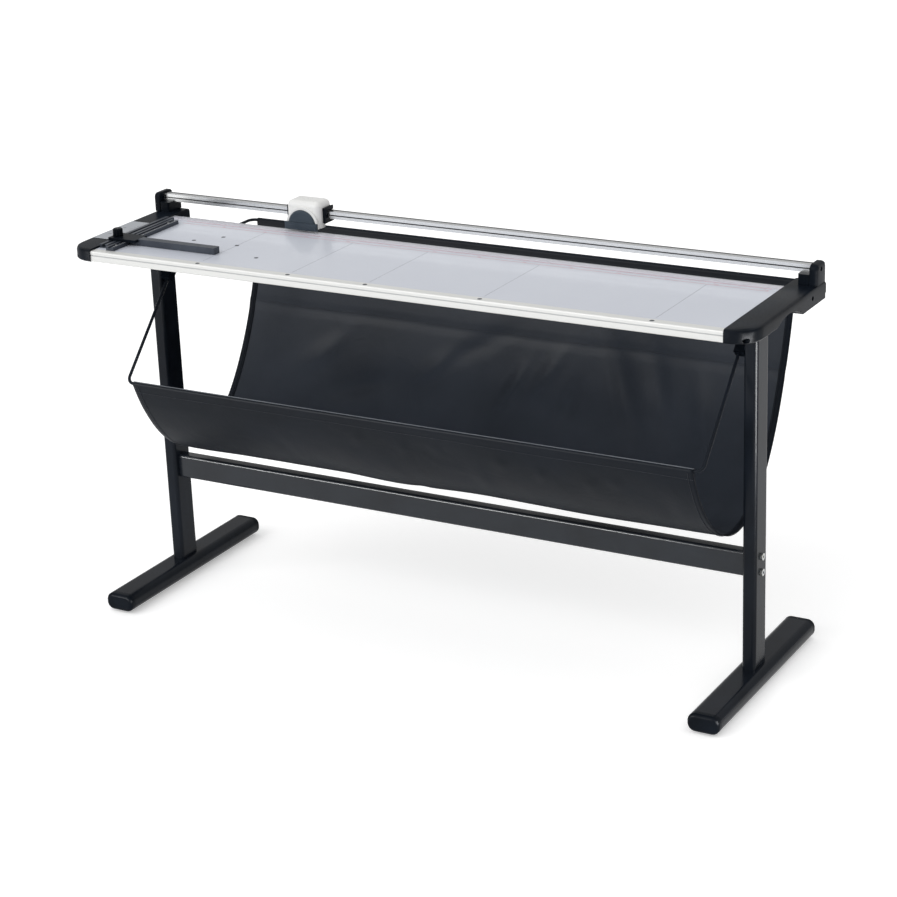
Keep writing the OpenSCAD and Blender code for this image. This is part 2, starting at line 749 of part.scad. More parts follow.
module rail_post_screws() color(steel) for (side = [-1, 1]) on_side(side) post_screw_places() {
    rod_z(screw_head_d, block_under - screw_head_h, block_under);
    rod_z(screw_d, block_under - screw_head_h, block_top + post_screw_bite);
}

module cheek_layer(x, inset) translate([x, rail_y, 0]) {
    for (end = [-1, 1]) {
        translate([0, end * (post_d / 2 - cheek_r), cheek_top - cheek_r])
            rod_x(2 * (cheek_r - inset), -0.01, 0);
        translate([0, end * (post_d / 2 - inset), 0]) box([-0.01, 0], [-0.01, 0.01], [block_top, block_top + cut]);
    }
}

module rail_cheek(side) color(moulded_black) on_side(side) difference() {
    hull() {
        cheek_layer(cheek_face + 0.01, 0);
        cheek_layer(cheek_out - block_round, 0);
        cheek_layer(cheek_out - 0.3 * block_round, 0.3 * block_round);
        cheek_layer(cheek_out, block_round);
    }
    translate([0, rail_port_y, rail_mid]) {
        rod_x(screw_d + 2 * fit, cheek_face - cut, cheek_out);
        rod_x(screw_head_d + 2 * plug_clear, cheek_out - seat_depth, cheek_out + cut);
    }
}

module rail_outline() difference() {
    area([rail_front, rail_rear], [rail_under, rail_top]);
    for (z = [rail_under, rail_top])
        area([groove_y - run_groove_w / 2, groove_y + run_groove_w / 2],
            [z - run_groove_depth, z + run_groove_depth]);
    area([rail_front - cut, rail_front + line_groove_depth],
        [rail_mid - line_groove_h / 2, rail_mid + line_groove_h / 2]);
}

module cutting_rail() color(aluminium) difference() {
    along_x(2 * cheek_face) rail_outline();
    for (side = [-1, 1]) on_side(side) translate([0, rail_port_y, rail_mid])
        rod_x(screw_d + 2 * fit, cheek_face - port_len, cheek_face + cut);
}

module rail_end_screws() color(steel) for (side = [-1, 1]) on_side(side)
    translate([0, rail_port_y, rail_mid]) {
        rod_x(screw_head_d, cheek_out - seat_depth, cheek_out - seat_depth + screw_head_h);
        rod_x(screw_d, cheek_face - port_len + bolt_short, cheek_out - seat_depth + cut);
    }

// Backstop
module trim_screw_places() {
    for (y = gauge_screws) translate([-gauge_mid, y, 0]) children();
    for (end = [0.1, 0.9])
        translate([-(ruler_out + ruler_in) / 2, ruler_front + ruler_len * end, 0]) children();
}

module side_ruler() color(moulded_black) difference() {
    box([-ruler_out, -ruler_in], [ruler_front, ruler_front + ruler_len], [table_height, gauge_top]);
    translate([-(ruler_out + ruler_in) / 2, 0, 0]) box([-ruler_groove_w / 2, ruler_groove_w / 2],
        [ruler_front - cut, ruler_front + ruler_len + cut], [gauge_top - ruler_groove_depth, gauge_top + cut]);
    trim_screw_places() rod_z(trim_screw_d + 2 * fit, table_height - cut, gauge_top);
}

module gauge_rail() color(aluminium) difference() {
    ends = [gauge_front - cut, gauge_front + gauge_len + cut];
    box([-gauge_out, -gauge_in], [gauge_front, gauge_front + gauge_len], [table_height, gauge_top]);
    translate([-gauge_mid, 0, 0]) {
        box([-slot_neck / 2, slot_neck / 2], ends, [slot_floor, gauge_top + cut]);
        box([-slot_w / 2, slot_w / 2], ends, [slot_floor, slot_roof]);
    }
    trim_screw_places() rod_z(trim_screw_d + 2 * fit, table_height - cut, slot_floor + cut);
}

module ruler_screws() color(steel) {
    for (y = gauge_screws) translate([-gauge_mid, y, 0]) {
        rod_z(trim_head_d, slot_floor, slot_floor + trim_head_h);
        rod_z(trim_screw_d, table_height - trim_bite, slot_floor + cut);
    }
    for (end = [0.1, 0.9])
        translate([-(ruler_out + ruler_in) / 2, ruler_front + ruler_len * end, 0]) {
            floor_z = gauge_top - ruler_groove_depth;
            rod_z(trim_head_d, floor_z, floor_z + trim_head_h);
            rod_z(trim_screw_d, table_height - trim_bite, floor_z + cut);
        }
}

module side_scale_plate() color(aluminium)
    box([-cheek_out + plate_side, -table_x - plate_side], [-plate_front, plate_len - plate_front],
        [block_top - plate_t, block_top + 0.3]);

module backstop_slider() color(moulded_black) difference() {
    box([-gauge_out, lap_len - arm_start], [-backstop_front - slider_len / 2, slider_len / 2 - backstop_front],
        [slider_under, slider_top]);
    translate([-gauge_mid, -backstop_front, 0]) rod_z(screw_d + 2 * fit, slider_under - cut, slider_top + cut);
}

module backstop_arm() color("#3c4048") {
    y = [-backstop_front - arm_w / 2, arm_w / 2 - backstop_front];
    box([-arm_start, lap_len - arm_start + cut], y, [arm_under, slider_under]);
    box([lap_len - arm_start, lap_len + arm_len - arm_start], y, [arm_under, slider_top]);
}

module backstop_nut() color(steel) translate([-gauge_mid, -backstop_front, 0]) difference() {
    half = slot_w / 2 - plug_clear;
    box([-half, half], [-half, half], [slot_floor + rest_clear, slot_roof - rest_clear]);
    rod_z(screw_d + 2 * fit, slot_floor, slot_roof);
}

module clamp_knob() color(moulded_black) translate([-gauge_mid, -backstop_front, 0]) {
    under = slider_top + rest_clear;
    difference() {
        union() {
            rod_z(knob_d, under, under + knob_h - 2);
            translate([0, 0, under + knob_h - 2]) cylinder(d1 = knob_d, d2 = knob_d - 4, h = 2);
        }
        for (i = [1 : knob_flutes]) rotate([0, 0, 360 * i / knob_flutes])
            translate([knob_d / 2 + 0.8, 0, 0]) rod_z(4, under + 3, under + knob_h + cut);
    }
    rod_z(screw_d, slot_floor + 2 * rest_clear, under + cut);
}

// Catch bag
module bag_hems(d, half) {
    translate([0, -front_hem, front_hem_z]) rod_x(d, -half, half);
    translate([0, rear_hem, rear_hem_z]) rod_x(d, -half, half);
}

module catch_bag() color(cloth_black) difference() {
    union() {
        along_x(2 * bag_half) polygon(concat([for (i = [0 : bag_steps]) bag_point(i, 1)],
            [for (i = [bag_steps : -1 : 0]) bag_point(i, -1)]));
        bag_hems(2 * hem_r, bag_half);
    }
    bag_hems(2 * hem_bore, bag_half + cut);
}

// A wire along X with an arm towards +Y at each end
module wire_frame(arm) {
    rod_x(wire_d, wire_bend - wire_x, wire_x - wire_bend);
    for (side = [-1, 1]) on_side(side) {
        translate([wire_x - wire_bend, wire_bend, 0]) rotate([0, 0, -90])
            rotate_extrude(angle = 90) translate([wire_bend, 0]) circle(d = wire_d);
        translate([wire_x, 0, 0]) rod_y(wire_d, wire_bend, arm);
    }
}

module rear_bag_wire() color(frame_black) translate([0, rear_hem, rear_hem_z]) rotate([0, 0, 180])
    wire_frame(rear_arm);

module front_bag_wire() color(frame_black) translate([0, -front_hem, front_hem_z])
    rotate([arm_tilt, 0, 0]) wire_frame(front_arm);

// Holds the end of a wire's arm that comes in along +Y and ends at the origin
module wire_socket() difference() {
    box([column_in - socket_len, column_in], [-socket_grip, socket_tail], [-socket_h / 2, socket_h / 2]);
    translate([wire_x, 0, 0]) rod_y(wire_d + 2 * fit, -socket_grip - cut, rest_clear);
    translate([0, socket_tail / 2, 0]) rod_x(screw_d + 2 * fit, column_in - socket_len - cut, column_in + cut);
}

module rear_wire_sockets() color(moulded_black) for (side = [-1, 1]) on_side(side)
    translate([0, rear_tip_y, rear_hem_z]) mirror([0, 1, 0]) wire_socket();

module front_wire_sockets() color(moulded_black) for (side = [-1, 1]) on_side(side)
    translate([0, front_tip_y, front_socket_z]) rotate([arm_tilt, 0, 0]) wire_socket();

module socket_screws() color(steel) for (side = [-1, 1], at = [front_screw, rear_screw])
    on_side(side) translate([0, at[0], at[1]]) {
        seat = column_in - socket_len;
        rod_x(screw_head_d, seat - screw_head_h, seat);
        rod_x(screw_d, seat - screw_head_h, column_in + tube_wall + cut);
    }

// Cutting head
module on_head() translate([head_x, 0, 0]) children();

module head_carriage() color(moulded_black) on_head() {
    difference() {
        along_x(carriage_len) difference() {
            area([web_front, carriage_rear], [carriage_under, carriage_top]);
            area([web_back, carriage_rear + cut], [lower_liner - liner_t, upper_liner + liner_t]);
        }
        translate([0, 0, blade_z]) rod_y(axle_d + 2 * fit, web_front - cut, web_back + cut);
    }
    difference() {
        box([-rib_x, rib_x], [rib_back - rib_depth, rib_back], [carriage_top - cut, carriage_top + rib_h]);
        for (side = [-1, 1]) translate([side * housing_screw_x, 0, housing_screw_z])
            rod_y(trim_screw_d + 2 * fit, rib_back - rib_depth + cut, rib_back + cut);
    }
}

module slide_liner_outline() {
    rib = run_groove_w / 2 - plug_clear;
    area([rail_front, rail_rear], [slide_clear, slide_clear + liner_t]);
    area([groove_y - rib, groove_y + rib], [2 * plug_clear - run_groove_depth, slide_clear + cut]);
}

module upper_slide_liner() color("#e8e6df") on_head() along_x(carriage_len)
    translate([0, rail_top]) slide_liner_outline();

module lower_slide_liner() color("#e8e6df") on_head() along_x(carriage_len)
    translate([0, rail_under]) mirror([0, 1]) slide_liner_outline();

module wiper(side) color(moulded_black)
    translate([head_x + side * (carriage_len + wiper_t) / 2, 0, 0]) along_x(wiper_t) difference() {
        area([web_front - cut, carriage_rear + cut], [carriage_under - cut, carriage_top + cut]);
        area([web_back, carriage_rear + 2 * cut], [rail_under - wipe_clear, rail_top + wipe_clear]);
        for (z = [rail_under, rail_top]) area([rail_front, rail_rear], [z - wipe_clear, z + wipe_clear]);
    }

module housing_shape(inset) hull() {
    top_r = housing_r - inset;
    half = housing_w / 2 - housing_r;
    for (x = [-half, half], y = [housing_front + housing_r, housing_rear - housing_r])
        translate([x, y, housing_roof - housing_r]) sphere(top_r, $fn = 32);
    for (x = [-half, half], y = [housing_front + housing_r, housing_rear - housing_r])
        translate([x, y, housing_under - (inset > 0 ? cut : 0)]) cylinder(r = top_r, h = cut, $fn = 32);
}

// The housing's half-round front: an arch of radius r with straight sides down to its lower edge
module arch(r, y0, y1, under) difference() {
    union() {
        translate([0, 0, cover_z]) rod_y(2 * r, y0, y1);
        box([-r, r], [y0, y1], [under, cover_z]);
    }
    box([-r, r], [y0 - cut, y1 + cut], [cover_z - r - cut, under]);
}

module head_housing() color("#f1f1ee") on_head() difference() {
    union() {
        difference() {
            housing_shape(0);
            housing_shape(housing_wall);
        }
        difference() {
            arch(cover_r + slide_clear + bezel_w, housing_front - bezel_d, housing_front + housing_wall, housing_under);
            arch(cover_r + slide_clear, housing_front - bezel_d - cut, housing_front, housing_under - cut);
        }
    }
    arch(cover_r - cover_wall - bezel_w / 2, housing_front - cut, housing_front + housing_wall + cut,
        housing_under - cut);
    box([-housing_w, housing_w], [web_front - plug_clear, housing_rear + cut],
        [carriage_under - plug_clear, carriage_top + plug_clear]);
    box([-housing_w, housing_w], [web_back, housing_rear + cut], [housing_under - cut, carriage_under]);
    for (side = [-1, 1]) translate([side * housing_screw_x, 0, housing_screw_z])
        rod_y(trim_screw_d + 2 * fit, rib_back - rib_depth, housing_rear + cut);
}

module blade_cover() color("#4a505a") on_head() difference() {
    union() {
        intersection() {
            translate([0, 0, cover_z]) {
                rod_y(2 * cover_r, cover_front + cover_d / 3, housing_front);
                translate([0, cover_front, 0]) rotate([-90, 0, 0])
                    cylinder(r1 = cover_r - cover_d / 3, r2 = cover_r, h = cover_d / 3);
            }
            box([-cover_r, cover_r], [cover_front, housing_front], [cover_z, cover_z + cover_r]);
        }
        box([-skirt_w / 2, skirt_w / 2], [cover_front - 2, housing_front - bezel_d - slide_clear],
            [skirt_under, skirt_under + skirt_h]);
        box([-cover_r, cover_r], [cover_front, housing_front], [skirt_under + skirt_h / 2, cover_z + cut]);
    }
    arch(cover_r - cover_d / 3 - cover_wall, cover_front + cover_wall, housing_front + cut, skirt_under - cut);
}

module housing_screws() color(steel) on_head() for (side = [-1, 1])
    translate([side * housing_screw_x, 0, housing_screw_z]) {
        rod_y(trim_head_d, housing_rear, housing_rear + trim_head_h);
        rod_y(trim_screw_d, rib_back - rib_depth + 2 * cut, housing_rear + cut);
    }

module blade_axle() color(steel) on_head() translate([0, 0, blade_z]) {
    rod_y(spigot_d, axle_front - axle_head_t, axle_front);
    rod_y(axle_d, axle_front - axle_head_t, web_back - slide_clear);
}

module blade_spacer() color(steel) on_head() translate([0, 0, blade_z]) difference() {
    rod_y(spigot_d, spring_rear, web_front);
    rod_y(axle_d + 2 * fit, spring_rear - cut, web_front + cut);
}

// Conical disc spring, its wide rim towards the blade hub
module disc_spring() color(steel) on_head() translate([0, spring_front, blade_z]) rotate([-90, 0, 0])
    rotate_extrude() polygon([[hub_d / 2 - 2, 0], [hub_d / 2 - 2, spring_t],
        [axle_d / 2 + fit, spring_h], [axle_d / 2 + fit, spring_h - spring_t]]);

module rotary_blade() color(steel) on_head() translate([0, blade_front, blade_z]) rotate([-90, 0, 0])
    rotate_extrude() polygon([[spigot_d / 2 + fit, 0], [blade_r, 0], [blade_r, 0.2],
        [blade_r - 2, blade_t], [spigot_d / 2 + fit, blade_t]]);

module blade_hub() color("#c8a85a") on_head() translate([0, 0, blade_z]) difference() {
    union() {
        rod_y(spigot_d, ring_front, flange_rear);
        rod_y(hub_d, blade_rear, flange_rear);
    }
    rod_y(axle_d + 2 * fit, ring_front - cut, flange_rear + cut);
}

module blade_clamp_ring() color(steel) on_head() translate([0, 0, blade_z]) difference() {
    rod_y(hub_d, ring_front, blade_front);
    rod_y(spigot_d + 2 * fit, ring_front - cut, blade_front + cut);
}

on_stand() foot_tube(-1);  // left_foot_tube
on_stand() foot_tube(1);  // right_foot_tube
on_stand() foot_end_caps();
on_stand() floor_glides();
on_stand() column(-1);  // left_column
on_stand() column(1);  // right_column
on_stand() column_plugs();
on_stand() column_base_bolts();
on_stand() crossbar();
on_stand() crossbar_plugs();
on_stand() crossbar_bolts();
on_stand() top_plate(-1);  // left_top_plate
on_stand() top_plate(1);  // right_top_plate
on_stand() top_plate_screws();
on_stand() cross_member(-1);  // left_cross_member
on_stand() cross_member(1);  // right_cross_member
on_stand() table_board();
on_stand() front_edge_rail();
on_stand() rear_edge_rail();
on_stand() bed_knife();
on_stand() bed_knife_screws();
on_stand() paper_clamp_strip();
on_stand() end_block(-1);  // left_end_block
on_stand() end_block(1);  // right_end_block
on_stand() end_block_screws();
on_stand() rail_post(-1);  // left_rail_post
on_stand() rail_post(1);  // right_rail_post
on_stand() rail_post_screws();
on_stand() rail_cheek(-1);  // left_rail_cheek
on_stand() rail_cheek(1);  // right_rail_cheek
on_stand() cutting_rail();
on_stand() rail_end_screws();
on_stand() side_ruler();
on_stand() gauge_rail();
on_stand() ruler_screws();
on_stand() side_scale_plate();
on_stand() catch_bag();
on_stand() rear_bag_wire();
on_stand() front_bag_wire();
on_stand() rear_wire_sockets();
on_stand() front_wire_sockets();
on_stand() socket_screws();
on_stand() head_carriage();
on_stand() upper_slide_liner();
on_stand() lower_slide_liner();
on_stand() wiper(-1);  // left_wiper
on_stand() wiper(1);  // right_wiper
on_stand() head_housing();
on_stand() blade_cover();
on_stand() housing_screws();
on_stand() blade_axle();
on_stand() blade_spacer();
on_stand() disc_spring();
on_stand() rotary_blade();
on_stand() blade_hub();
on_stand() blade_clamp_ring();
on_stand() backstop_slider();
on_stand() backstop_arm();
on_stand() backstop_nut();
on_stand() clamp_knob();
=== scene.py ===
"""Looks of a wide paper cutter on a stand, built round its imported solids."""

import logging
import math
from dataclasses import dataclass, field
from enum import Enum

import bpy
from bpy.types import ID, Material, Mesh, Node, NodeTree, Object
from mathutils import Matrix, Vector, noise


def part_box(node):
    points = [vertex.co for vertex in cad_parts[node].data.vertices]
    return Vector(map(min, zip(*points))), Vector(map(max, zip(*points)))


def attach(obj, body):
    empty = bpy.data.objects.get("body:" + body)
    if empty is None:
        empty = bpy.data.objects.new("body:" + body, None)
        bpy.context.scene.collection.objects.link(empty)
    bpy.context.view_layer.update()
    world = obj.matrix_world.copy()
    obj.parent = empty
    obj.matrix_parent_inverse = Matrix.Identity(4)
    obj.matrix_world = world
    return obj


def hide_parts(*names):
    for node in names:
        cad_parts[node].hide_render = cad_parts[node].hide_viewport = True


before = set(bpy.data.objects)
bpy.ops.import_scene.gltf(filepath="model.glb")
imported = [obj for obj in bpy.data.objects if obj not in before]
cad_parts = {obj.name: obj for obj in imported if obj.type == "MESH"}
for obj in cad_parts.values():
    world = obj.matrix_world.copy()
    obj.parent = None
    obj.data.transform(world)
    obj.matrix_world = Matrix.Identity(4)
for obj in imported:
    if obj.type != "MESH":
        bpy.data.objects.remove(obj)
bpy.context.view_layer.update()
LOG = logging.getLogger("paper_cutter")
MM = 0.001
# Width of one band of Blender's wave texture at scale 1
WAVE_PERIOD = 0.314
# Parts of a pattern's range over which the tones and the shine change
TONE_SPAN = (0.35, 0.7)
CLOTH_SPAN = (0.35, 0.95)
SHINE_SPAN = (0.25, 0.75)
LEAST_ROUGHNESS = 0.03
# Depth of a grain or thread as a share of its width
GRAIN_DEPTH = 0.1
# Name of the map that holds a sheet's flat measure
FLAT_MAP = "flat_metres"
Colour = tuple[float, float, float, float]
Triple = tuple[float, float, float]
Pair = tuple[float, float]
Rows = list[list[Vector]]
# Numbers of steps that a scale marks, each with the length of its tick in millimetres, widest first
Ticks = tuple[tuple[int, float], ...]


class Run(Enum):
    """The way that drawn or ground lines run, as the share of detail kept along each axis."""

    NONE = (1.0, 1.0, 1.0)
    X = (0.002, 1.0, 1.0)
    Y = (1.0, 0.002, 1.0)


def linear(code: str) -> Colour:
    """Turn an sRGB hex colour into linear light.

    Args:
        code: six hex digits after a hash sign.

    Returns:
        Red, green, blue and full alpha.
    """
    parts = [int(code[i:i + 2], 16) / 255 for i in (1, 3, 5)]
    red, green, blue = (c / 12.92 if c <= 0.04045 else ((c + 0.055) / 1.055) ** 2.4 for c in parts)
    return red, green, blue, 1.0


def add_node(tree: NodeTree, kind: str, settings: dict | None = None, links: dict | None = None) -> Node:
    """Add one node with its settings and links.

    Args:
        tree: the node tree.
        kind: Blender's name of the node type, after ShaderNode.
        settings: properties by name, or socket values by socket name or number.
        links: for each socket, the node and output that feed it.

    Returns:
        The new node.
    """
    node = tree.nodes.new("ShaderNode" + kind)
    for key, value in (settings or {}).items():
        if isinstance(key, str) and hasattr(node, key):
            setattr(node, key, value)
        else:
            node.inputs[key].default_value = value
    for key, (source, output) in (links or {}).items():
        tree.links.new(source.outputs[output], node.inputs[key])
    return node


def per_metre(size_mm: float) -> float:
    """Texture scale whose features are about this many millimetres wide."""
    return 1.0 / (size_mm * MM)


def lengths(line: list) -> list[float]:
    """Measure along a line.

    Args:
        line: its points.

    Returns:
        The distance of each point from the first, along the line.
    """
    run = [0.0]
    for a, b in zip(line, line[1:]):
        run.append(run[-1] + math.dist(a, b))
    return run


def tick_length(step: int, ticks: Ticks) -> float:
    """Length in metres of a scale's tick at this step."""
    return next(size for every, size in ticks if step % every == 0) * MM


@dataclass(frozen=True)
class Finish:
    """A surface: its two tones, its shine, and the grain that its making left.

    The grain is drawn coarser than the real one where the real one is too fine to show.
    """

    name: str
    colour: str
    worn: str
    roughness: float
    grain_mm: float
    bump: float
    metallic: float = 0.0
    specular: float = 0.5
    coat: float = 0.0
    coat_roughness: float = 0.1
    sheen: float = 0.0
    patch_mm: float = 120.0
    spread: float = 0.08
    run: Run = Run.NONE
    alpha: float = 1.0

    def material(self) -> Material:
        """Return the material, made on first use."""
        return bpy.data.materials.get(self.name) or self.make()

    def make(self) -> Material:
        """Make the material.

        Returns:
            A new node material named for this finish.
        """
        made = bpy.data.materials.new(self.name)
        made.use_nodes = True
        tree = made.node_tree
        tone, shine, relief = self.pattern(tree)
        colour = add_node(tree, "Mix",
                          {"data_type": "RGBA", 6: linear(self.colour), 7: linear(self.worn)},
                          {0: (tone, "Result")})
        shader = tree.nodes["Principled BSDF"]
        for socket, value in {"Metallic": self.metallic, "Specular IOR Level": self.specular,
                              "Coat Weight": self.coat, "Coat Roughness": self.coat_roughness,
                              "Sheen Weight": self.sheen, "Alpha": self.alpha}.items():
            shader.inputs[socket].default_value = value
        for socket, source in {"Base Color": colour.outputs[2], "Roughness": shine.outputs["Result"],
                               "Normal": relief.outputs["Normal"]}.items():
            tree.links.new(source, shader.inputs[socket])
        return made

    def pattern(self, tree: NodeTree) -> tuple[Node, Node, Node]:
        """Draw the tones, the uneven shine and the grain.

        Args:
            tree: the material's nodes.

        Returns:
            The nodes that give the share of the second tone, the roughness and the relief.
        """
        place = add_node(tree, "TexCoord")
        stretch = add_node(tree, "Mapping", {"Scale": self.run.value}, {"Vector": (place, "Object")})
        grain, patch = (add_node(tree, "TexNoise", {"Scale": per_metre(size), "Detail": detail},
                                 {"Vector": (stretch, "Vector")})
                        for size, detail in ((self.grain_mm, 3.0), (self.patch_mm, 4.0)))
        tone = add_node(
            tree, "MapRange", {"From Min": TONE_SPAN[0], "From Max": TONE_SPAN[1]}, {"Value": (patch, "Fac")})
        shine = add_node(tree, "MapRange",
                         {"From Min": SHINE_SPAN[0], "From Max": SHINE_SPAN[1],
                          "To Min": max(self.roughness - self.spread, LEAST_ROUGHNESS),
                          "To Max": self.roughness + self.spread}, {"Value": (grain, "Fac")})
        relief = add_node(tree, "Bump",
                          {"Strength": self.bump, "Distance": GRAIN_DEPTH * self.grain_mm * MM},
                          {"Height": (grain, "Fac")})
        return tone, shine, relief


@dataclass(frozen=True)
class WovenCloth(Finish):
    """Plain-woven nylon: crossing threads over the sheet's own flat measure, and faint creases."""

    thread_mm: float = 1.2
    thread_share: float = 0.35
    crease_bump: float = 0.35
    crease_mm: float = 4.0

    def pattern(self, tree: NodeTree) -> tuple[Node, Node, Node]:
        """Draw the tones, the uneven shine, the weave and the creases.

        Args:
            tree: the material's nodes.

        Returns:
            The nodes that give the share of the second tone, the roughness and the relief.
        """
        flat = add_node(tree, "UVMap", {"uv_map": FLAT_MAP})
        warp, weft = (add_node(tree, "TexWave",
                               {"bands_direction": way, "Scale": WAVE_PERIOD * per_metre(self.thread_mm),
                                "Distortion": 0.6, "Detail": 1.0, "Detail Scale": 2.0},
                               {"Vector": (flat, "UV")}) for way in ("X", "Y"))
        weave = add_node(tree, "Math", {"operation": "MULTIPLY"}, {0: (warp, "Fac"), 1: (weft, "Fac")})
        place = add_node(tree, "TexCoord")
        patch, crease = (add_node(tree, "TexNoise",
                                  {"Scale": per_metre(size), "Detail": detail, "Distortion": twist},
                                  {"Vector": (place, "Object")})
                         for size, detail, twist in ((self.patch_mm, 5.0, 0.0), (self.grain_mm, 6.0, 0.8)))
        mixed = add_node(tree, "Math", {"operation": "MULTIPLY_ADD", 1: self.thread_share},
                         {0: (weave, "Value"), 2: (patch, "Fac")})
        tone = add_node(tree, "MapRange", {"From Min": CLOTH_SPAN[0], "From Max": CLOTH_SPAN[1]},
                        {"Value": (mixed, "Value")})
        shine = add_node(tree, "MapRange",
                         {"To Min": self.roughness - self.spread, "To Max": self.roughness + self.spread},
                         {"Value": (patch, "Fac")})
        soft = add_node(tree, "Bump",
                        {"Strength": self.crease_bump, "Distance": self.crease_mm * MM},
                        {"Height": (crease, "Fac")})
        relief = add_node(tree, "Bump",
                          {"Strength": self.bump, "Distance": GRAIN_DEPTH * self.thread_mm * MM},
                          {"Height": (weave, "Value"), "Normal": (soft, "Normal")})
        return tone, shine, relief


# Powder-coated steel: satin black with a faint orange peel that breaks up its highlights
POWDER_COAT = Finish("powder_coated_steel", "#13171D", "#1C2129", 0.2, 2.5, 0.03, specular=0.09, spread=0.03)
# The same powder coat on the crossbar, as a copy painted a lighter, cooler grey and given more shine: painted
# light, so that it mirrors more of the pale floor
LIGHTER_PAINTED_COAT = Finish(
    "powder_coat_painted_lighter", "#1A1E24", "#23282F", 0.2, 2.5, 0.03, specular=0.33, spread=0.03)
# Spark-eroded black ABS: a fine grain that spreads highlights into a soft grey
BLACK_ABS = Finish("moulded_black_abs", "#0D1117", "#151B23", 0.32, 1.6, 0.1, specular=0.05, patch_mm=60)
# Zinc-plated steel: bright, with a cool cast and slight clouding
ZINC = Finish("zinc_plated_steel", "#B0B4B8", "#C4C3BC", 0.28, 1.2, 0.1, metallic=1.0, patch_mm=8)
# Clear-anodised extrusion: pale and silky, with die lines along its length
ALUMINIUM = Finish(
    "anodised_aluminium_extrusion", "#DADBDA", "#E7E7E4", 0.42, 1.4, 0.05, metallic=0.4, run=Run.X)
# Drawn and polished aluminium rail: bright, with long draw lines
DRAWN_ALUMINIUM = Finish(
    "drawn_aluminium_rail", "#D6D8D9", "#E6E6E6", 0.24, 1.0, 0.03, metallic=1.0, run=Run.X, spread=0.05)
# Painted shade in the groove of the edge extrusion: the same aluminium, duller and a little darker than its
# faces
GROOVE_SHADE_ALUMINIUM = Finish(
    "aluminium_groove_painted_shade", "#C4C6C7", "#D2D3D3", 0.5, 1.4, 0.1, metallic=0.5, run=Run.X)
# Printed film over the rear edge rail: the table's grey with a pink cast from its red scale
REAR_FILM = Finish("film_covered_rear_rail", "#CBC6D0", "#D3CFD8", 0.42, 2.0, 0.0, coat=0.35,
                   coat_roughness=0.12, patch_mm=420)
# Painted shade in the rail's grooves: dark glossy lines where shade falls
GROOVE_SHADE_DARK = Finish("rail_groove_painted_shade", "#101113", "#1C1C1D", 0.3, 1.5, 0.2, patch_mm=20)
# Printed laminate under a clear film: a pale blue-grey with a wet gloss
LAMINATE = Finish("film_covered_printed_laminate", "#C8CCD6", "#D0D4DD", 0.42, 2.0, 0.0, coat=0.35,
                  coat_roughness=0.12, patch_mm=420)
# Ground tool steel: grey, with grinding lines
GROUND_STEEL = Finish("ground_tool_steel", "#B4B7BA", "#C8CACB", 0.26, 0.9, 0.2, metallic=1.0, run=Run.X)
# Clear PVC strip: almost unseen, but for its gloss
CLEAR_PVC = Finish("clear_pvc_strip", "#E9ECF2", "#F2F4F8", 0.08, 3.0, 0.02, alpha=0.18, spread=0.03)
# Dark anodised aluminium: charcoal with a metallic edge
DARK_ANODISED = Finish(
    "dark_anodised_aluminium", "#353A44", "#434953", 0.38, 1.2, 0.15, metallic=0.35, run=Run.Y, patch_mm=40)
# Satin scale plate: brushed aluminium under clear lacquer
SCALE_PLATE = Finish("brushed_scale_plate", "#BFC3C9", "#CFD2D6", 0.38, 1.0, 0.15, metallic=0.8, run=Run.Y)
# Glossy white ABS: clean, with a soft even shine
WHITE_ABS = Finish("moulded_white_abs", "#E6E6E4", "#EEEEEC", 0.3, 2.5, 0.04, patch_mm=50, spread=0.05)
# Grey polycarbonate guard: dark slate with a fine moulded grain
GREY_PC = Finish(
    "moulded_grey_polycarbonate", "#39424B", "#444D56", 0.36, 1.6, 0.12, specular=0.15, patch_mm=40)
# Acetal liner: waxy off-white
ACETAL = Finish("milled_acetal_liner", "#DAD7CC", "#E4E1D8", 0.42, 1.4, 0.1, run=Run.X)
# Turned brass: warm, with fine tool marks
BRASS = Finish("turned_brass", "#C09A4A", "#D2B066", 0.28, 0.8, 0.15, metallic=1.0, patch_mm=6)
# Screen-printed inks: flat and faintly uneven
GREY_INK, DARK_INK, RED_INK, WHITE_INK = (
    Finish(f"screen_printed_{name}_ink", colour, worn, 0.5, 1.0, 0.05) for name, colour, worn in (
        ("grey", "#6E727C", "#7C808A"), ("dark", "#3A3D45", "#484B53"), ("red", "#C0707F", "#C98492"),
        ("white", "#D8DADD", "#E4E5E7")))
# Woven nylon: matt charcoal, with threads drawn wider than the real half millimetre so that they show
NYLON = WovenCloth("woven_nylon", "#12161C", "#1A1F27", 0.5, 90.0, 0.25, specular=0.08, patch_mm=160)
# The same nylon under a thin coat of polyurethane on the bag's inside, painted paler and a little smoother:
# partly the coat's own tone, partly painted light on the inner wall that the table shades
COATED_NYLON_PAINTED_PALER = WovenCloth("coated_nylon_painted_paler", "#262B33", "#363C46", 0.48, 90.0, 0.2, specular=0.1,
                          patch_mm=220, spread=0.06, sheen=0.05)
# Painted highlight: the nylon painted pale where the front hem's fold over the wire catches the light
HIGHLIGHT_NYLON = WovenCloth("woven_nylon_painted_highlight", "#62676E", "#7C8188", 0.5, 90.0, 0.25, patch_mm=60, sheen=0.1)
# Polyester sewing thread: a little paler than the cloth
THREAD = Finish("spun_polyester_thread", "#2C3037", "#3A3F47", 0.6, 0.6, 0.3, patch_mm=5)

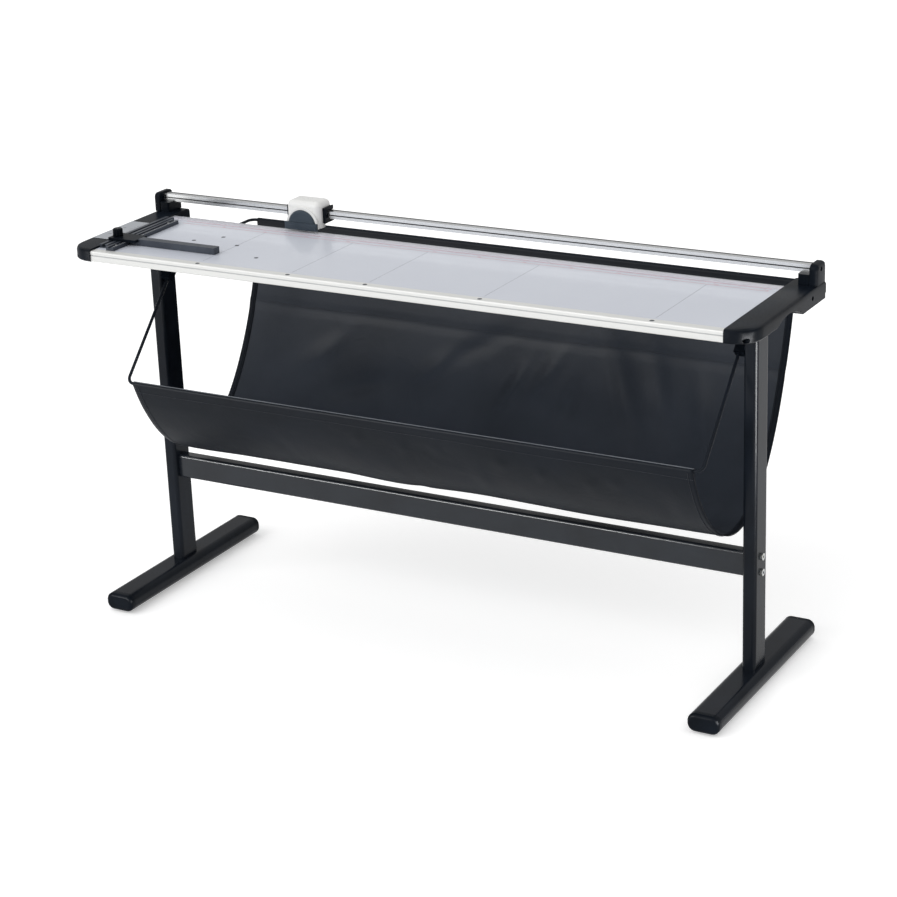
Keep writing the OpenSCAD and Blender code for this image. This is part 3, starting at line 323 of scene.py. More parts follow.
NODE_FINISHES: tuple[tuple[Finish, str], ...] = (
    (POWDER_COAT, "left_foot_tube right_foot_tube left_column right_column left_top_plate right_top_plate "
                  "left_cross_member right_cross_member rear_bag_wire front_bag_wire"),
    # The crossbar takes the copy of the coat that is painted lighter
    (LIGHTER_PAINTED_COAT, "crossbar"),
    (BLACK_ABS, "foot_end_caps floor_glides left_end_block right_end_block left_rail_post right_rail_post "
                "left_rail_cheek right_rail_cheek rear_wire_sockets front_wire_sockets head_carriage "
                "left_wiper right_wiper backstop_slider clamp_knob"),
    (ZINC, "column_plugs column_base_bolts crossbar_plugs crossbar_bolts top_plate_screws bed_knife_screws "
           "end_block_screws rail_post_screws rail_end_screws ruler_screws socket_screws housing_screws "
           "blade_axle blade_spacer backstop_nut"),
    (ALUMINIUM, "front_edge_rail"),
    (REAR_FILM, "rear_edge_rail"),
    (DRAWN_ALUMINIUM, "cutting_rail"),
    (LAMINATE, "table_board"),
    (GROUND_STEEL, "bed_knife rotary_blade blade_clamp_ring disc_spring"),
    (CLEAR_PVC, "paper_clamp_strip"),
    (DARK_ANODISED, "side_ruler backstop_arm gauge_rail"),
    (SCALE_PLATE, "side_scale_plate"),
    (WHITE_ABS, "head_housing"),
    (ACETAL, "upper_slide_liner lower_slide_liner"),
    (GREY_PC, "blade_cover"),
    (BRASS, "blade_hub"))


def put(name: str, data: ID) -> Object:
    """Put some data in the scene.

    Args:
        name: the object's name.
        data: its mesh, text, lamp or lens.

    Returns:
        The new object.
    """
    made = bpy.data.objects.new(name, data)
    bpy.context.scene.collection.objects.link(made)
    return made


def add_piece(name: str, points: list, faces: list, finish: Finish, smooth: bool = True) -> Object:
    """Make a mesh piece and let it ride on the stand.

    Args:
        name: the piece's name.
        points: its points, in metres in the part's frame.
        faces: its faces, as point numbers.
        finish: its surface.
        smooth: whether its faces are shaded smooth.

    Returns:
        The new object.
    """
    mesh = bpy.data.meshes.new(name)
    mesh.from_pydata([tuple(p) for p in points], [], faces)
    mesh.update()
    mesh.materials.append(finish.material())
    for face in mesh.polygons:
        face.use_smooth = smooth
    piece = put(name, mesh)
    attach(piece, "stand")
    LOG.info("%s rides on the stand with %d points", name, len(points))
    return piece


@dataclass
class Marks:
    """Printed marks on one level face: each is a thin raised film of ink."""

    name: str
    top: float
    slot: str
    ink_mm: float = 0.06
    dot_sides: int = 20
    # Height of a digit as a share of Blender's text size
    digit_share: float = 0.7
    rings: list[list[Pair]] = field(default_factory=list)
    # Each with the place of its middle and the height of its digits
    numbers: list[tuple[int, float, float, float]] = field(default_factory=list)

    def bar(self, x0: float, x1: float, y0: float, y1: float) -> None:
        """Add a rectangle of ink, in metres."""
        (left, right), (front, rear) = sorted((x0, x1)), sorted((y0, y1))
        self.rings.append([(left, front), (right, front), (right, rear), (left, rear)])

    def dot(self, x: float, y: float, radius: float) -> None:
        """Add a disc of ink, in metres."""
        turns = [2 * math.pi * i / self.dot_sides for i in range(self.dot_sides)]
        self.rings.append([(x + radius * math.cos(a), y + radius * math.sin(a)) for a in turns])

    def build(self, finish: Finish) -> None:
        """Make all the marks as one piece.

        Args:
            finish: the ink.
        """
        points: list = []
        faces: list = []
        for ring in self.rings:
            start, count = len(points), len(ring)
            points += [(x, y, z) for z in (self.top, self.top + self.ink_mm * MM) for x, y in ring]
            faces.append(tuple(start + i for i in reversed(range(count))))
            faces.append(tuple(start + count + i for i in range(count)))
            for i in range(count):
                a, b = start + i, start + (i + 1) % count
                faces.append((a, b, b + count, a + count))
        for value, x, y, height in self.numbers:
            mesh = self.digits(value, height)
            start, place = len(points), Vector((x, y, self.top + self.ink_mm * MM / 2))
            points += [place + v.co for v in mesh.vertices]
            faces += [tuple(start + i for i in face.vertices) for face in mesh.polygons]
            bpy.data.meshes.remove(mesh)
        add_piece(self.name, points, faces, finish, smooth=False)

    def digits(self, value: int, height: float) -> Mesh:
        """Make one number as thin solid ink.

        Args:
            value: the number.
            height: how tall its digits are, in metres.

        Returns:
            The mesh, centred on the origin.
        """
        curve = bpy.data.curves.new("digits", "FONT")
        curve.body = str(value)
        curve.size = height / self.digit_share
        curve.align_x = curve.align_y = "CENTER"
        curve.resolution_u = 3
        curve.extrude = self.ink_mm * MM / 2
        holder = put("digits", curve)
        seen = bpy.context.evaluated_depsgraph_get()
        mesh = bpy.data.meshes.new_from_object(holder.evaluated_get(seen))
        bpy.data.objects.remove(holder)
        bpy.data.curves.remove(curve)
        return mesh


@dataclass
class Solids:
    """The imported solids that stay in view."""

    sharp: tuple[str, ...] = (
        "table_board", "paper_clamp_strip", "rotary_blade", "disc_spring", "left_column", "right_column",
        "crossbar", "left_foot_tube", "right_foot_tube", "front_bag_wire", "rear_bag_wire", "left_end_block",
        "right_end_block")
    edges_mm: dict[str, float] = field(default_factory=lambda: {
        "cutting_rail": 0.3, "head_housing": 0.25, "blade_cover": 0.6, "clamp_knob": 0.5,
        "side_scale_plate": 0.3})
    usual_edge_mm: float = 0.4
    edge_rings: int = 2
    sharp_turn: float = 40.0
    # How near points are joined where edges stay sharp, and where they are broken
    seam_mm: float = 0.001
    join_mm: float = 0.03
    flat_weight: int = 90
    groove_skin_mm: float = 0.2
    groove_deep_mm: float = 3.1
    # Where the front groove lies, as shares of the rail's height
    groove_levels: Pair = (0.2, 0.85)

    def build(self) -> None:
        """Give every solid its finish."""
        for finish, nodes in NODE_FINISHES:
            for node in nodes.split():
                self.dress(node, finish)
                LOG.info("%s on %s", finish.name, node)
        # Painted shade in the grooves of both rails
        self.line_grooves("cutting_rail", GROOVE_SHADE_DARK)
        self.line_grooves("front_edge_rail", GROOVE_SHADE_ALUMINIUM)

    def dress(self, node: str, finish: Finish) -> None:
        """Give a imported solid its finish, and keep its sharp edges or break them.

        Args:
            node: the solid's name.
            finish: the surface it gets.
        """
        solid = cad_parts[node]
        solid.data.materials.clear()
        solid.data.materials.append(finish.material())
        for face in solid.data.polygons:
            face.use_smooth = True
        turn = math.radians(self.sharp_turn)
        weld = solid.modifiers.new("weld", "WELD")
        if node in self.sharp:
            weld.merge_threshold = self.seam_mm * MM
            solid.modifiers.new("sharp_edges", "EDGE_SPLIT").split_angle = turn
        else:
            weld.merge_threshold = self.join_mm * MM
            edge = solid.modifiers.new("broken_edges", "BEVEL")
            edge.width = self.edges_mm.get(node, self.usual_edge_mm) * MM
            edge.segments = self.edge_rings
            edge.limit_method = "ANGLE"
            edge.angle_limit = turn
            edge.use_clamp_overlap = True
            solid.modifiers.new("clean_folds", "WELD").merge_threshold = self.join_mm * MM
        solid.modifiers.new("flat_faces", "WEIGHTED_NORMAL").weight = self.flat_weight

    def line_grooves(self, node: str, finish: Finish) -> None:
        """Paint shade into the grooves along the front and top faces of a rail, as a darker finish of their
        own.

        Args:
            node: the rail.
            finish: the painted shade of its grooves.
        """
        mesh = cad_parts[node].data
        low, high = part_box(node)
        skin, deep = self.groove_skin_mm * MM, self.groove_deep_mm * MM
        mesh.materials.append(finish.material())
        for face in mesh.polygons:
            back, down = face.center.y - low.y, high.z - face.center.z
            level = (face.center.z - low.z) / (high.z - low.z)
            in_front = skin < back < deep and self.groove_levels[0] < level < self.groove_levels[1]
            on_top = skin < down < deep and deep < back < high.y - low.y - deep
            if in_front or on_top:
                face.material_index = 1


@dataclass
class TablePrint:
    """The scale, format lines and corner dots printed on the table."""

    formats_mm: tuple[int, ...] = (210, 420, 594, 841, 1189)
    corners_mm: tuple[tuple[int, int], ...] = (
        (105, 148), (148, 105), (210, 148), (297, 210), (210, 297), (420, 297), (594, 297), (841, 297),
        (1189, 297))
    dot_mm: float = 4.5
    dot_ink_mm: float = 0.1
    line_mm: float = 0.7
    line_front_mm: float = 8.0
    line_rear_mm: float = 47.0
    side_ticks_mm: range = range(60, 300, 10)
    side_ticks: Ticks = ((50, 9), (10, 5))
    side_start_mm: float = 2.0
    red_line_mm: float = 1.1
    scale_start_mm: float = 4.0
    scale_end_mm: float = 20.0
    scale_rear_mm: float = 27.0
    scale_front_mm: float = 43.0
    every_mm: float = 5.0
    ticks: Ticks = ((20, 10), (10, 7), (2, 5), (1, 3))
    number_steps: int = 20
    number_mm: float = 4.0
    number_shift_mm: float = 6.0
    number_back_mm: float = 39.0
    slot: str = "table_laminate"

    def build(self) -> None:
        """Print the table, from the side ruler's inner edge and the cut line."""
        low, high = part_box("table_board")
        zero_x, zero_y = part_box("side_ruler")[1].x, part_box("bed_knife")[1].y
        half, thick = self.line_mm * MM / 2, self.red_line_mm * MM / 2
        red = Marks("table_red_scale", high.z, self.slot)
        end_x = high.x - self.scale_end_mm * MM
        for back in (self.scale_rear_mm, self.scale_front_mm):
            y = zero_y - back * MM
            red.bar(zero_x + self.scale_start_mm * MM, end_x, y - thick, y + thick)
        y = zero_y - self.scale_rear_mm * MM
        for step in range(1, int((end_x - zero_x) / (self.every_mm * MM)) + 1):
            x = zero_x + step * self.every_mm * MM
            red.bar(x - half, x + half, y, y - tick_length(step, self.ticks))
            if step % self.number_steps == 0:
                red.numbers.append((step // 2, x + self.number_shift_mm * MM,
                                    zero_y - self.number_back_mm * MM, self.number_mm * MM))
        red.build(RED_INK)
        grey = Marks("table_format_lines", high.z, self.slot)
        for size in self.formats_mm:
            x = zero_x + size * MM
            grey.bar(x - half, x + half, low.y + self.line_front_mm * MM, zero_y - self.line_rear_mm * MM)
        x = zero_x + self.side_start_mm * MM
        for back in self.side_ticks_mm:
            y = zero_y - back * MM
            grey.bar(x, x + tick_length(back, self.side_ticks), y - half, y + half)
        grey.build(GREY_INK)
        dots = Marks("table_format_dots", high.z, self.slot, ink_mm=self.dot_ink_mm)
        radius = self.dot_mm * MM
        nearest_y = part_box("front_edge_rail")[0].y + 2 * radius
        for along, back in self.corners_mm:
            dots.dot(zero_x + along * MM, max(zero_y - back * MM, nearest_y), radius)
        dots.build(DARK_INK)


@dataclass
class EdgeScale:
    """A centimetre scale down the right-hand edge of a solid's top face."""

    name: str
    node: str
    slot: str
    ink: Finish
    ticks: Ticks
    gap_mm: float
    numbered: bool = False
    line_mm: float = 0.5
    every_mm: float = 5.0
    number_steps: int = 10
    number_in_mm: float = 16.0
    number_mm: float = 6.0
    first_cm: int = 5

    def build(self) -> None:
        """Print the ticks, and the numbers if the scale has them."""
        low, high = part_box(self.node)
        half = self.line_mm * MM / 2
        marks = Marks(self.name, high.z, self.slot)
        for step in range(1, int((high.y - low.y) / (self.every_mm * MM))):
            y = high.y - step * self.every_mm * MM
            marks.bar(high.x - tick_length(step, self.ticks), high.x - self.gap_mm * MM, y - half, y + half)
            if self.numbered and step % self.number_steps == 0:
                marks.numbers.append(
                    (step // 2 + self.first_cm, low.x + self.number_in_mm * MM, y, self.number_mm * MM))
        marks.build(self.ink)


PLATE_PRINT = EdgeScale("side_plate_ticks", "side_scale_plate", "scale_aluminium", DARK_INK,
                        ticks=((10, 14), (2, 10), (1, 6)), gap_mm=1.0, numbered=True)
RULER_PRINT = EdgeScale(
    "side_ruler_ticks", "side_ruler", "dark_anodised", WHITE_INK, ticks=((2, 4.5), (1, 2.5)), gap_mm=0.4)


@dataclass(frozen=True)
class Crease:
    """One soft crease in the cloth: where it lies on the flat sheet, its turn, its size and its depth."""

    x: float
    run: float
    turn: float
    half_length: float
    half_width: float
    depth_mm: float
    # Where it ends, in half lengths and half widths, and how much it leans to one side
    end: float = 2.0
    side_end: float = 4.0
    lean: float = 0.8

    def height(self, x: float, run: float) -> float:
        """How far a point of the flat sheet is pushed out.

        Args:
            x: place across the sheet, in metres.
            run: place along the sheet from the front wire, in metres.

        Returns:
            The height in millimetres.
        """
        ahead = Vector((math.cos(math.radians(self.turn)), math.sin(math.radians(self.turn))))
        place = Vector((x - self.x, run - self.run))
        far = place.dot(ahead) / self.half_length
        side = (place.x * ahead.y - place.y * ahead.x) / self.half_width
        if abs(far) > self.end or abs(side) > self.side_end:
            return 0.0
        return self.depth_mm * math.exp(-far * far) * (1 - self.lean * side) * math.exp(-side * side)


@dataclass
class CatchBag:
    """The cloth sling: one sheet round both wires, with sewn hems and side hems."""

    cloth_mm: float = 0.9
    sleeve_gap_mm: float = 1.4
    sleeve_turn: float = 215.0
    sleeve_steps: int = 12
    flap_mm: float = 26.0
    flap_steps: int = 3
    side_hem_mm: float = 12.0
    grid_mm: float = 9.0
    # First guess of the slopes at both wires, and the rounds that settle them
    first_slopes: Pair = (-66.0, 76.0)
    slope_rounds: int = 6
    # How far off the sheet the flap, the side hems and the stitches lie, in cloth thicknesses
    flap_lift: float = 1.6
    hem_lift: float = 1.2
    stitch_lift: float = 1.25
    hem_stitch_lift: float = 1.9
    # Where the side stitches run, from the middle of the hem to its inner edge
    hem_stitch_share: float = 0.75
    stitch_mm: float = 4.0
    stitch_share: float = 0.65
    first_stitch_mm: float = 3.0
    thread_mm: float = 0.45
    frames: int = 40
    extra: float = 0.005
    cloth: dict[str, float] = field(default_factory=lambda: {
        "quality": 6, "mass": 0.3, "tension_stiffness": 30, "compression_stiffness": 12,
        "shear_stiffness": 6, "bending_stiffness": 0.25, "air_damping": 2.0})
    # Rows over which the hold of the hems fades, and what it fades from
    fade_rows: int = 3
    fade_hold: float = 0.9
    # Unevenness before and after the cloth settles: height, texture scale and shift, rows to full height
    wave_mm: float = 4.0
    wave_scale: Triple = (5.0, 4.0, 4.0)
    wave_shift: float = 7.3
    wave_rows: int = 8
    broad_mm: float = 6.0
    broad_scale: Pair = (4.5, 5.0)
    broad_shift: float = 3.1
    broad_rows: int = 6
    soften: int = 8
    creases: tuple[Crease, ...] = tuple(Crease(*row) for row in (
        (0.044, 0.55, 66, 0.055, 0.016, -7.9), (-0.146, 0.568, 45, 0.05, 0.017, -6.3),
        (0.287, 0.578, -66, 0.1, 0.022, 7.1), (0.365, 0.585, -72, 0.08, 0.02, 5.5),
        (-0.42, 0.56, 40, 0.06, 0.022, -5.5), (-0.31, 0.5, 18, 0.07, 0.02, 5.5),
        (0.115, 0.585, 60, 0.06, 0.018, -6.3), (0.18, 0.53, 75, 0.06, 0.018, 5.5),
        (-0.05, 0.62, 30, 0.07, 0.02, 4.7), (0.47, 0.55, 105, 0.07, 0.02, -5.5),
        (0.3, 0.07, 110, 0.02, 0.011, -1.8), (0.215, 0.06, 118, 0.018, 0.011, -1.5),
        (0.4, 0.085, 112, 0.022, 0.011, -1.8), (0.455, 0.07, 108, 0.018, 0.011, -1.5),
        (-0.1, 0.05, 112, 0.02, 0.011, -1.5), (0.0, 0.06, 116, 0.022, 0.011, -1.8),
        (0.075, 0.05, 108, 0.018, 0.011, -1.5), (-0.3, 0.12, 80, 0.05, 0.02, 1.8),
        (0.16, 0.14, 95, 0.05, 0.02, -1.8), (0.55, 0.13, 100, 0.05, 0.02, 2.1),
        (0.0, 0.655, 0, 2.0, 0.007, 2.0)))
    # Rows of the front hem's fold that carry the painted highlight
    rubbed_rows: tuple[int, ...] = (8, 9)
    seam_run: float = 0.655
    slot: str = "bag_cloth"
    across: list[float] = field(default_factory=list)
    profile: list[Pair] = field(default_factory=list)
    first_free: int = 0
    last_free: int = 0

    def build(self) -> None:
        """Make the sheet, let it settle, and sew its hems."""
        self.hang()
        rows = [[Vector((x, y, z)) for x in self.across] for y, z in self.profile]
        # The sheet's inner face takes the coated nylon that is painted paler, partly as painted light
        sheet = self.panel("bag_sheet", rows, COATED_NYLON_PAINTED_PALER, self.across, lengths(self.profile))
        for finish in (NYLON, HIGHLIGHT_NYLON, HIGHLIGHT_NYLON):
            sheet.data.materials.append(finish.material())
        # Faces on the fold over the front wire get the nylon with the painted highlight
        for face in sheet.data.polygons:
            if face.index // (len(self.across) - 1) in self.rubbed_rows:
                face.material_index = 2
        rows = self.wrinkle(self.settle(sheet))
        for vertex, place in zip(sheet.data.vertices, (p for row in rows for p in row)):
            vertex.co = place
        sheet.data.update()
        self.thicken(sheet, 1)
        pieces = self.sew(rows)
        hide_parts("catch_bag")

    def hang(self) -> None:
        """Work out the sheet's section: flap, sleeve, hanging curve, sleeve and flap."""
        low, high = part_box("catch_bag")
        wire_low, wire_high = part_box("rear_bag_wire")
        radius = (wire_high.z - wire_low.z) / 2
        rear = (wire_high.y - radius, (wire_high.z + wire_low.z) / 2)
        wire_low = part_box("front_bag_wire")[0]
        front = (wire_low.y + radius, wire_low.z + radius)
        sleeve = radius + self.sleeve_gap_mm * MM
        floor = low.z + self.cloth_mm * MM
        slopes = [math.radians(slope) for slope in self.first_slopes]
        for _ in range(self.slope_rounds):
            start, end = ((wire[0] + sleeve * math.sin(slope), wire[1] - sleeve * math.cos(slope))
                          for wire, slope in zip((front, rear), slopes))
            size, mid = self.catenary(start, end, floor)
            slopes = [math.atan(math.sinh((p[0] - mid) / size)) for p in (start, end)]
        arc_0, arc_1 = (size * math.sinh((p[0] - mid) / size) for p in (start, end))
        count = int((arc_1 - arc_0) / (self.grid_mm * MM))
        curve = []
        for i in range(count + 1):
            y = mid + size * math.asinh((arc_0 + (arc_1 - arc_0) * i / count) / size)
            curve.append((y, floor + size * (math.cosh((y - mid) / size) - 1)))
        front_hem = self.hem(front, sleeve, slopes[0], curve, 1)
        rear_hem = self.hem(rear, sleeve, slopes[1], curve[::-1], -1)
        self.profile = front_hem + curve + rear_hem[::-1]
        self.first_free = len(front_hem)
        self.last_free = len(front_hem) + count
        half, hem = high.x, self.side_hem_mm * MM
        inner = half - hem
        steps = int(2 * inner / (self.grid_mm * MM))
        self.across = ([-half, -half + hem / 2] + [-inner + 2 * inner * i / steps for i in range(steps + 1)]
                       + [half - hem / 2, half])

    @staticmethod
    def catenary(start: Pair, end: Pair, floor: float) -> Pair:
        """Find the hanging curve through two points with a given lowest height.

        Args:
            start: the front point, as depth and height.
            end: the rear point.
            floor: the lowest height.

        Returns:
            The curve's size and the depth of its lowest point.
        """
        small, large, halvings = 0.005, 2.0, 60
        for _ in range(halvings):
            size = (small + large) / 2
            reach = size * sum(math.acosh((point[1] - floor) / size + 1) for point in (start, end))
            if reach < end[0] - start[0]:
                small = size
            else:
                large = size
        return size, start[0] + size * math.acosh((start[1] - floor) / size + 1)

    def hem(self, wire: Pair, sleeve: float, slope: float, curve: list[Pair], side: int) -> list[Pair]:
        """Give the flap and the turn round one wire, up to where the sheet leaves it.

        Args:
            wire: the wire's centre, as depth and height.
            sleeve: the radius of the sleeve.
            slope: the slope of the hanging curve at the wire.
            curve: the curve's points, from this wire on.
            side: 1 at the front and -1 at the rear.

        Returns:
            The points from the flap's free edge to the last one on the sleeve.
        """
        leave = math.atan2(-math.cos(slope), math.sin(slope))
        turn = math.radians(self.sleeve_turn) * side
        turns = [leave - turn * (1 - i / self.sleeve_steps) for i in range(self.sleeve_steps)]
        round_wire = [(wire[0] + sleeve * math.cos(a), wire[1] + sleeve * math.sin(a)) for a in turns]
        near, far = curve[0], curve[self.flap_steps]
        along = Vector((far[0] - near[0], far[1] - near[1])).normalized()
        inward = Vector((-along.y, along.x)) * side
        foot = Vector(near) + along * self.flap_mm * MM + inward * self.cloth_mm * self.flap_lift * MM
        first = Vector(round_wire[0])
        flap = [tuple(foot + (first - foot) * (i / self.flap_steps)) for i in range(self.flap_steps)]
        return flap + round_wire

    def panel(self, name: str, rows: Rows, finish: Finish, across: list[float], along: list[float],
              flip: bool = False) -> Object:
        """Make a grid of cloth with its flat measure as its map.

        Args:
            name: the piece's name.
            rows: its points, row by row.
            finish: its surface.
            across: where each column lies on the flat cloth, in metres.
            along: where each row lies on it.
            flip: whether the faces turn the other way.

        Returns:
            The cloth, as a single layer.
        """
        wide = len(across)
        corners = (wide, wide + 1, 1, 0) if flip else (0, 1, wide + 1, wide)
        faces = [tuple(r * wide + c + i for i in corners)
                 for r in range(len(rows) - 1) for c in range(wide - 1)]
        cloth = add_piece(name, [p for row in rows for p in row], faces, finish)
        layer = cloth.data.uv_layers.new(name=FLAT_MAP)
        for loop in cloth.data.loops:
            row, column = divmod(loop.vertex_index, wide)
            layer.data[loop.index].uv = (across[column], along[row])
        return cloth

    def thicken(self, cloth: Object, outside: int = 0) -> None:
        """Give a single layer of cloth its thickness.

        Args:
            cloth: the piece.
            outside: how many materials further on the outer face's one is.
        """
        solid = cloth.modifiers.new("cloth_thickness", "SOLIDIFY")
        solid.thickness = self.cloth_mm * MM
        solid.offset = 0.0
        solid.material_offset = solid.material_offset_rim = outside

    def settle(self, sheet: Object) -> Rows:
        """Let the sheet hang as cloth from its two hems.

        Args:
            sheet: the sheet as it is laid out.

        Returns:
            Its points once it has settled, row by row.
        """
        wide = len(self.across)
        pin = sheet.vertex_groups.new(name="hems")
        for index, vertex in enumerate(sheet.data.vertices):
            row = index // wide
            inside = min(row - self.first_free, self.last_free - row)
            if inside <= 0:
                pin.add([index], 1.0, "REPLACE")
                continue
            if inside <= self.fade_rows:
                pin.add([index], self.fade_hold * (1 - inside / (self.fade_rows + 1)), "REPLACE")
            x, y, z = (p * scale for p, scale in zip(vertex.co, self.wave_scale))
            wave = noise.noise(Vector((x, y + self.wave_shift, z)))
            vertex.co.z += self.wave_mm * MM * wave * min(1.0, inside / self.wave_rows)
        cloth = sheet.modifiers.new("hang", "CLOTH")
        for name, value in self.cloth.items():
            setattr(cloth.settings, name, value)
        cloth.settings.vertex_group_mass = "hems"
        cloth.settings.shrink_min = -self.extra
        cloth.collision_settings.use_collision = False
        cloth.point_cache.frame_start = 1
        cloth.point_cache.frame_end = self.frames
        scene = bpy.context.scene
        for number in range(1, self.frames + 1):
            scene.frame_set(number)
        seen = bpy.context.evaluated_depsgraph_get()
        hung = [v.co.copy() for v in sheet.evaluated_get(seen).data.vertices]
        sheet.modifiers.remove(cloth)
        sheet.vertex_groups.remove(pin)
        scene.frame_set(1)
        return [hung[i:i + wide] for i in range(0, len(hung), wide)]

    def wrinkle(self, rows: Rows) -> Rows:
        """Press the creases that folding and use have left into the sheet.

        Args:
            rows: the points of the sheet, row by row.

        Returns:
            The creased points.
        """
        for _ in range(self.soften):
            rows = self.softened(rows)
        runs = lengths(self.profile[self.first_free:])
        last = len(self.across) - 1
        moved = [row[:] for row in rows]
        for r in range(self.first_free + 1, self.last_free):
            run = runs[r - self.first_free]
            inside = min(r - self.first_free, self.last_free - r) / self.broad_rows
            for c, x in enumerate(self.across):
                along = rows[r + 1][c] - rows[r - 1][c]
                across = rows[r][min(c + 1, last)] - rows[r][max(c - 1, 0)]
                place = Vector((x * self.broad_scale[0], run * self.broad_scale[1], self.broad_shift))
                push = self.broad_mm * noise.noise(place)
                push += sum(crease.height(x, run) for crease in self.creases)
                moved[r][c] = rows[r][c] + across.cross(along).normalized() * push * MM * min(1.0, inside)
        return moved

    def softened(self, rows: Rows) -> Rows:
        """Ease each free point halfway to its neighbours, so that no sharp pinch is left.

        Args:
            rows: the points of the sheet, row by row.

        Returns:
            The eased points.
        """
        eased = [row[:] for row in rows]
        last = len(self.across) - 1
        for r in range(self.first_free + 1, self.last_free):
            for c, point in enumerate(rows[r]):
                near = rows[r - 1][c] + rows[r + 1][c]
                if 0 < c < last:
                    near = (near + rows[r][c - 1] + rows[r][c + 1]) / 2
                eased[r][c] = (point + near / 2) / 2
        return eased

    def sew(self, rows: Rows) -> list[Object]:
        """Add the folded side hems and every row of stitches.

        Args:
            rows: the settled points of the sheet.

        Returns:
            The pieces that go with the sheet.
        """
        free = rows[self.first_free:self.last_free + 1]
        flap_rows = max(2, round(self.flap_mm / self.grid_mm) - 1)
        seam_row = round(self.seam_run / (self.grid_mm * MM))
        pieces = []
        for name, columns in (("left", (0, 1, 2)), ("right", (-1, -2, -3))):
            strip = [[row[c] for c in columns] for row in free]
            pieces.append(self.fold(f"bag_{name}_side_hem", strip, name == "right"))
            line = [inner * self.hem_stitch_share + middle * (1 - self.hem_stitch_share)
                    for _, middle, inner in strip]
            pieces.append(
                self.stitches(f"bag_{name}_side_stitches", line, Vector((1, 0, 0)), self.hem_stitch_lift))
        for name, row in (("front_hem", flap_rows), ("rear_hem", -1 - flap_rows), ("back_seam", seam_row)):
            pieces.append(
                self.stitches(f"bag_{name}_stitches", free[row], Vector((0, 0, 1)), self.stitch_lift))
        return pieces

    def fold(self, name: str, strip: Rows, flip: bool) -> Object:
        """Lay a folded hem on the inside of the sheet.

        Args:
            name: the piece's name.
            strip: the sheet's points below it, edge first.
            flip: whether the faces turn the other way.

        Returns:
            The hem.
        """
        rows = []
        for i, row in enumerate(strip):
            ahead, back = strip[min(i + 1, len(strip) - 1)], strip[max(i - 1, 0)]
            inward = [(r - q).cross(Vector((1, 0, 0))).normalized() for q, r in zip(ahead, back)]
            rows.append([p + way * self.hem_lift * self.cloth_mm * MM for p, way in zip(row, inward)])
        hem = self.panel(name, rows, NYLON, [c * self.side_hem_mm * MM / 2 for c in range(len(strip[0]))],
                         [r * self.grid_mm * MM for r in range(len(strip))], flip)
        self.thicken(hem)
        return hem

    def stitches(self, name: str, line: list[Vector], across: Vector, lift: float) -> Object:
        """Sew a running stitch along a line on both faces of the cloth.

        Args:
            name: the piece's name.
            line: the points that it follows.
            across: a direction that crosses the line and lies in the cloth.
            lift: how far off the threads lie, in cloth thicknesses.

        Returns:
            The stitches, as small threads.
        """
        run = lengths(line)
        points: list = []
        faces: list = []
        step, at, index = self.stitch_mm * MM, self.first_stitch_mm * MM, 0
        while at + self.stitch_share * step < run[-1]:
            ends = []
            for place in (at, at + self.stitch_share * step):
                while index < len(run) - 2 and run[index + 1] < place:
                    index += 1
                share = (place - run[index]) / max(run[index + 1] - run[index], 1e-9)
                ends.append(line[index].lerp(line[index + 1], share))
            side = (ends[1] - ends[0]).normalized().cross(across).normalized()
            for out in (-side, side):
                off = out * lift * self.cloth_mm * MM
                self.thread(ends[0] + off, ends[1] + off, out, points, faces)
            at += step
        return add_piece(name, points, faces, THREAD)

    def thread(self, start: Vector, end: Vector, out: Vector, points: list, faces: list) -> None:
        """Add one stitch: a short bowed thread that dips into the cloth at both ends.

        Args:
            start: where it comes out.
            end: where it goes in.
            out: away from the cloth.
            points: the list that takes its points.
            faces: the list that takes its faces.
        """
        width = (end - start).normalized().cross(out).normalized()
        first, radius = len(points), self.thread_mm * MM
        sides, rings, dip = 5, 4, 2 * radius
        for r in range(rings):
            share = r / (rings - 1)
            centre = start.lerp(end, share) - out * dip * (2 * share - 1) ** 2
            for s in range(sides):
                a = 2 * math.pi * s / sides
                points.append(centre + (width * math.cos(a) + out * math.sin(a)) * radius)
        for r in range(rings - 1):
            for s in range(sides):
                a, b = first + r * sides + s, first + r * sides + (s + 1) % sides
                faces.append((a, b, b + sides, a + sides))
        faces.append(tuple(first + s for s in reversed(range(sides))))
        faces.append(tuple(first + (rings - 1) * sides + s for s in range(sides)))


@dataclass(frozen=True)
class Card:
    """A reflector card that only glosses mirror, so that dark edges catch a line of light."""

    name: str
    place: Triple
    turn: Triple
    size: Pair
    power: float
    lit: tuple[str, ...]

    def build(self) -> None:
        """Add the card, for the solids and pieces that are to mirror it."""
        lamp = bpy.data.lights.new(self.name, "AREA")
        lamp.shape = "RECTANGLE"
        lamp.size, lamp.size_y = self.size
        lamp.energy = self.power
        card = put(self.name, lamp)
        card.location = self.place
        card.rotation_euler = [math.radians(v) for v in self.turn]
        card.visible_camera = card.visible_diffuse = False
        group = bpy.data.collections.new(self.name + "_lights")
        for piece in self.lit:
            group.objects.link(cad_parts.get(piece) or bpy.data.objects[piece])
        card.light_linking.receiver_collection = group


